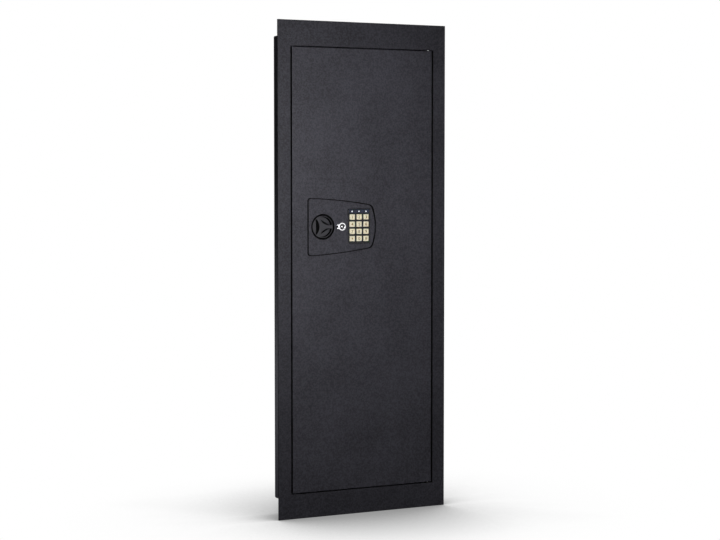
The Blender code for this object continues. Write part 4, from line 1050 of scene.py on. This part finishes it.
def make_battery_cover():
    """The sliding lid with three finger ridges."""
    low, high, centre = measured("battery_cover")
    top = low.y + 1.6 * MM
    first, pitch, root, half_wide, half_long = low.x + 8 * MM, 3 * MM, top - 0.6 * MM, 0.7 * MM, 10 * MM
    ridges = []
    for across in (first, first + pitch, first + 2 * pitch):
        start = (across - half_wide, root, centre.z - half_long)
        ridges.append(block(start, (across + half_wide, high.y, centre.z + half_long), 0.35 * MM, 3))
    lid = plate([rounded_rectangle(low, high, 3 * MM)], low.y, top, edge=0.4 * MM)
    piece("battery_cover_lid", combine(lid, ridges, "UNION"), "black_plastic", "battery_cover")


def make_reset_button():
    """The code-set button, with a collar that keeps it in and a dished top."""
    low, high, centre = measured("reset_button")
    collar = ((0, 0), (4.6, 0), (4.6, 2), (3.2, 2))
    dished_top = ((3.2, 0.1), (2.2, 0), (0, 0.35))
    shape = turned(profile_of(low.y, high.y, collar, dished_top), centre, "Y", 48, 0.5 * MM, 4)
    piece("reset_button_cap", shape, "red_plastic", "reset_button")


# ---- bolt work

def make_bolts():
    """Plated bolts with a chamfered nose, two witness rings and the neck the carriage holds."""
    chamfer, ring_depth, ring_places = 1.6 * MM, 0.25 * MM, (7 * MM, 9 * MM)
    neck_depth, neck_from_end, neck_play = 2 * MM, 3.7 * MM, 0.1 * MM
    for name in ("bolt_top", "bolt_middle", "bolt_bottom"):
        low, high, centre = measured(name)
        radius = (high.z - low.z) / 2
        profile = [(0, low.x), (radius - chamfer, low.x), (radius, low.x + chamfer)]
        for place in ring_places:
            start = low.x + place
            floor = radius - ring_depth
            profile += [(radius, start), (floor, start + ring_depth)]
            profile += [(floor, start + 2 * ring_depth), (radius, start + 3 * ring_depth)]
        neck_start, neck_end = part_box("bolt_carriage")[0].x - neck_play, high.x - neck_from_end
        profile += [(radius, neck_start), (radius - neck_depth, neck_start)]
        profile += [(radius - neck_depth, neck_end), (radius, neck_end), (radius, high.x), (0, high.x)]
        piece(f"{name}_plated", turned(profile, centre, "X", 72, 0.4 * MM), "bolt_steel", name)


def make_hinge_pins():
    for name in ("hinge_pin_bottom", "hinge_pin_top"):
        low, high, centre = measured(name)
        radius = (high.x - low.x) / 2
        profile = [(0, low.z), (radius, low.z), (radius, high.z), (0, high.z)]
        piece(f"{name}_turned", turned(profile, centre, "Z", 48, 0.7 * MM, 4), "zinc_steel", name)


def make_solenoid_coil():
    """The winding: each turn of wire is a ridge."""
    low, high, centre = measured("solenoid_coil")
    radius, bore = (high.x - low.x) / 2, 4.6 * MM
    turns, steps, ridge, end_ridge = 22, 4, 0.35 * MM, 0.4 * MM
    pitch = (high.z - low.z) / turns
    profile = []
    for count in range(turns * steps):
        turn, share = count // steps, count % steps / steps
        valley = ridge * (1 - math.sin(math.pi * share))
        profile.append((radius - valley, low.z + (turn + share) * pitch))
    profile += [(radius - end_ridge, high.z), (bore, high.z), (bore, low.z)]
    shape = turned(profile, centre, "Z", 48, 0.02 * MM, 1)
    piece("solenoid_coil_winding", shape, "copper_winding", "solenoid_coil", sharp=80)


def make_spring():
    """The blocking pin's coil spring. It is baked where it stands and rides no body."""
    low, high, centre = measured("pin_spring")
    wire = 0.45 * MM
    coil = (high.x - low.x) / 2 - wire
    turns, steps = 4, 28
    curve = bpy.data.curves.new("spring", "CURVE")
    curve.dimensions = "3D"
    curve.bevel_depth = wire
    curve.bevel_resolution = 4
    curve.use_fill_caps = True
    spline = curve.splines.new("POLY")
    total = turns * steps
    spline.points.add(total)
    for count, point in enumerate(spline.points):
        turn = 2 * math.pi * count / steps
        height = low.z + wire + (high.z - low.z - 2 * wire) * count / total
        point.co = (centre.x + coil * math.cos(turn), centre.y + coil * math.sin(turn), height, 1)
    top, bottom = (centre.x, centre.y, high.z), (centre.x, centre.y, low.z)
    ends = (body_of("pin_spring"), body_of("blocking_pin"), top, bottom)
    piece("pin_spring_coil", shape_of_curve(curve), "bolt_steel", "pin_spring", sharp=60, stretched=ends)


def make_batteries():
    """Four cells, laid alternately, each with its raised contact."""
    base = ((0, 0.3), (3, 0.3), (3.4, 0), (6.85, 0), (7.25, 0.6))
    contact = ((7.25, 2), (6.55, 1.4), (2.8, 1.6), (2.6, 0), (0, 0))
    for count in range(1, 5):
        node = f"battery_{count}"
        low, high, centre = measured(node)
        half = (high.x - low.x) / 2
        shape = turned(profile_of(-half, half, base, contact), (0, 0, 0), "X")
        made = piece(f"{node}_cell", shape, "battery_jacket", node)
        flip = Matrix.Rotation(math.pi if count % 2 else 0, 4, "Z")
        made.matrix_world = Matrix.Translation(centre) @ flip


GUIDES = ("bolt_guide_top", "bolt_guide_middle", "bolt_guide_bottom")
# The nodes whose plain shape is right, with their looks and the rounding of their edges in millimetres
REFINED = {
    ("powder_coat", 0.3): ("strike_jamb", "hinge_side_jamb"),
    ("zinc_steel", 0.14): ("hinge_lug_top", "hinge_lug_bottom"),
    ("zinc_steel", 0.25): ("pivot_block_top", "pivot_block_bottom", "mechanism_plate", "solenoid_frame"),
    ("zinc_steel", 0.3): ("drive_spindle", "bolt_carriage", "key_cam", *GUIDES),
    ("zinc_steel", 0.2): ("blocking_pin",),
    ("circuit_board", 0.12): ("keypad_board",),
    ("black_plastic", 0.3): ("battery_case",),
}


# ---- studio

def camera_ray(tree):
    return add_node(tree, "ShaderNodeLightPath").outputs["Is Camera Ray"]


def make_floor(low):
    """A pale floor. It sends little light back up, and a soft shadow is painted into its glow where the safe
    stands.
    """
    gap = 0.2 * MM
    shape = bmesh.new()
    bmesh.ops.create_grid(shape, x_segments=1, y_segments=1, size=20)
    bmesh.ops.translate(shape, vec=(0, 0, low.z - gap), verts=shape.verts)
    floor = make_object("studio_floor", shape)
    made = bpy.data.materials.new("studio_floor")
    made.use_nodes = True
    tree = made.node_tree
    tree.nodes.remove(tree.nodes["Principled BSDF"])
    # Ambient occlusion darkens the floor's glow near the safe: a painted contact shadow
    near = add_node(tree, "ShaderNodeAmbientOcclusion", {"Distance": 0.5}, samples=16)
    unshadowed_share = ramp(tree, near.outputs["AO"], 0.5, 0.95, 0.0, 1.0, "LINEAR")
    strength = ramp(tree, maths(tree, "POWER", unshadowed_share, 1.45), 0.0, 1.0, 0.3, 1.0, "LINEAR")
    shown = add_node(tree, "ShaderNodeEmission", {"Strength": strength})
    matt = add_node(tree, "ShaderNodeBsdfDiffuse", {"Color": (0.045, 0.045, 0.045, 1.0)})
    seen = camera_ray(tree)
    surface = add_node(tree, "ShaderNodeMixShader", {0: seen, 1: matt.outputs[0], 2: shown.outputs[0]})
    tree.links.new(surface.outputs[0], tree.nodes["Material Output"].inputs["Surface"])
    floor.data.materials.append(made)


def make_world(ambient):
    """White where the camera sees it, and a weak even light everywhere else."""
    world = bpy.data.worlds.new("studio")
    bpy.context.scene.world = world
    world.use_nodes = True
    tree = world.node_tree
    background = tree.nodes["Background"]
    tree.links.new(ramp(tree, camera_ray(tree), 0.0, 1.0, ambient, 1.0), background.inputs["Strength"])
    background.inputs["Color"].default_value = (1.0, 1.0, 1.0, 1.0)


def aimed(name, data, place, target):
    """A light or a camera at its place that looks at its target."""
    made = add_object(name, data)
    made.location = place
    made.rotation_mode = "QUATERNION"
    made.rotation_quaternion = (Vector(target) - place).to_track_quat("-Z", "Y")
    return made


def soft_light(name, place, target, size, power, spread=180):
    light = bpy.data.lights.new(name, "AREA")
    light.shape = "RECTANGLE"
    light.size, light.size_y = size
    light.energy = power
    light.spread = math.radians(spread)
    aimed(name, light, place, target).visible_camera = False


def make_lights(low, high):
    """A key light near the front on the left, a card for the polished parts, and fills all round."""
    middle = (low + high) / 2
    left_side = middle + Vector((-0.2, 0, -0.25))
    soft_light("key", middle + Vector((-0.36, -0.85, 0.25)), (-0.06, 0, 0.75), (0.5, 0.6), 7.3)
    soft_light("card", middle + Vector((1.35, -2.6, -0.05)), middle, (0.95, 1.3), 5.5)
    soft_light("side", middle + Vector((-0.9, 0.3, -0.25)), left_side, (0.15, 0.15), 0.42, 62)
    soft_light("back", middle + Vector((1.2, 1.8, 0.9)), middle, (1.4, 1.4), 40.0)
    soft_light("top", middle + Vector((0.2, 0.5, 1.7)), middle, (1.2, 1.2), 14.0)


def make_camera():
    """Stands in front on the left, a little above the flange's middle."""
    azimuth, elevation, distance = math.radians(-26.47), math.radians(3.21), 3.817
    target = centre_of("front_flange") + Vector((-7.9 * MM, -1.25 * MM, -1 * MM))
    level = math.cos(elevation)
    back = Vector((math.sin(azimuth) * level, -math.cos(azimuth) * level, math.sin(elevation)))
    data = bpy.data.cameras.new("camera")
    data.lens = 87.5
    bpy.context.scene.camera = aimed("camera", data, target + back * distance, target)


make_flange()
make_shell()
make_carpet()
make_floor_pad()
make_barrel_rest()
make_door_skin()
make_lock_panel()
make_dial()
make_key_lock()
make_keypad()
make_keys()
make_cover()
make_cover_screws()
make_battery_cover()
make_reset_button()
make_bolts()
make_hinge_pins()
make_solenoid_coil()
make_spring()
make_batteries()
for (refined_look, rounding), refined_nodes in REFINED.items():
    for refined_node in refined_nodes:
        refined(refined_node, refined_look, rounding * MM)

AMBIENT = 0.06
make_floor(CAD_LOW)
make_world(AMBIENT)
make_lights(CAD_LOW, CAD_HIGH)
make_camera()
bpy.context.scene.view_settings.view_transform = "Standard"
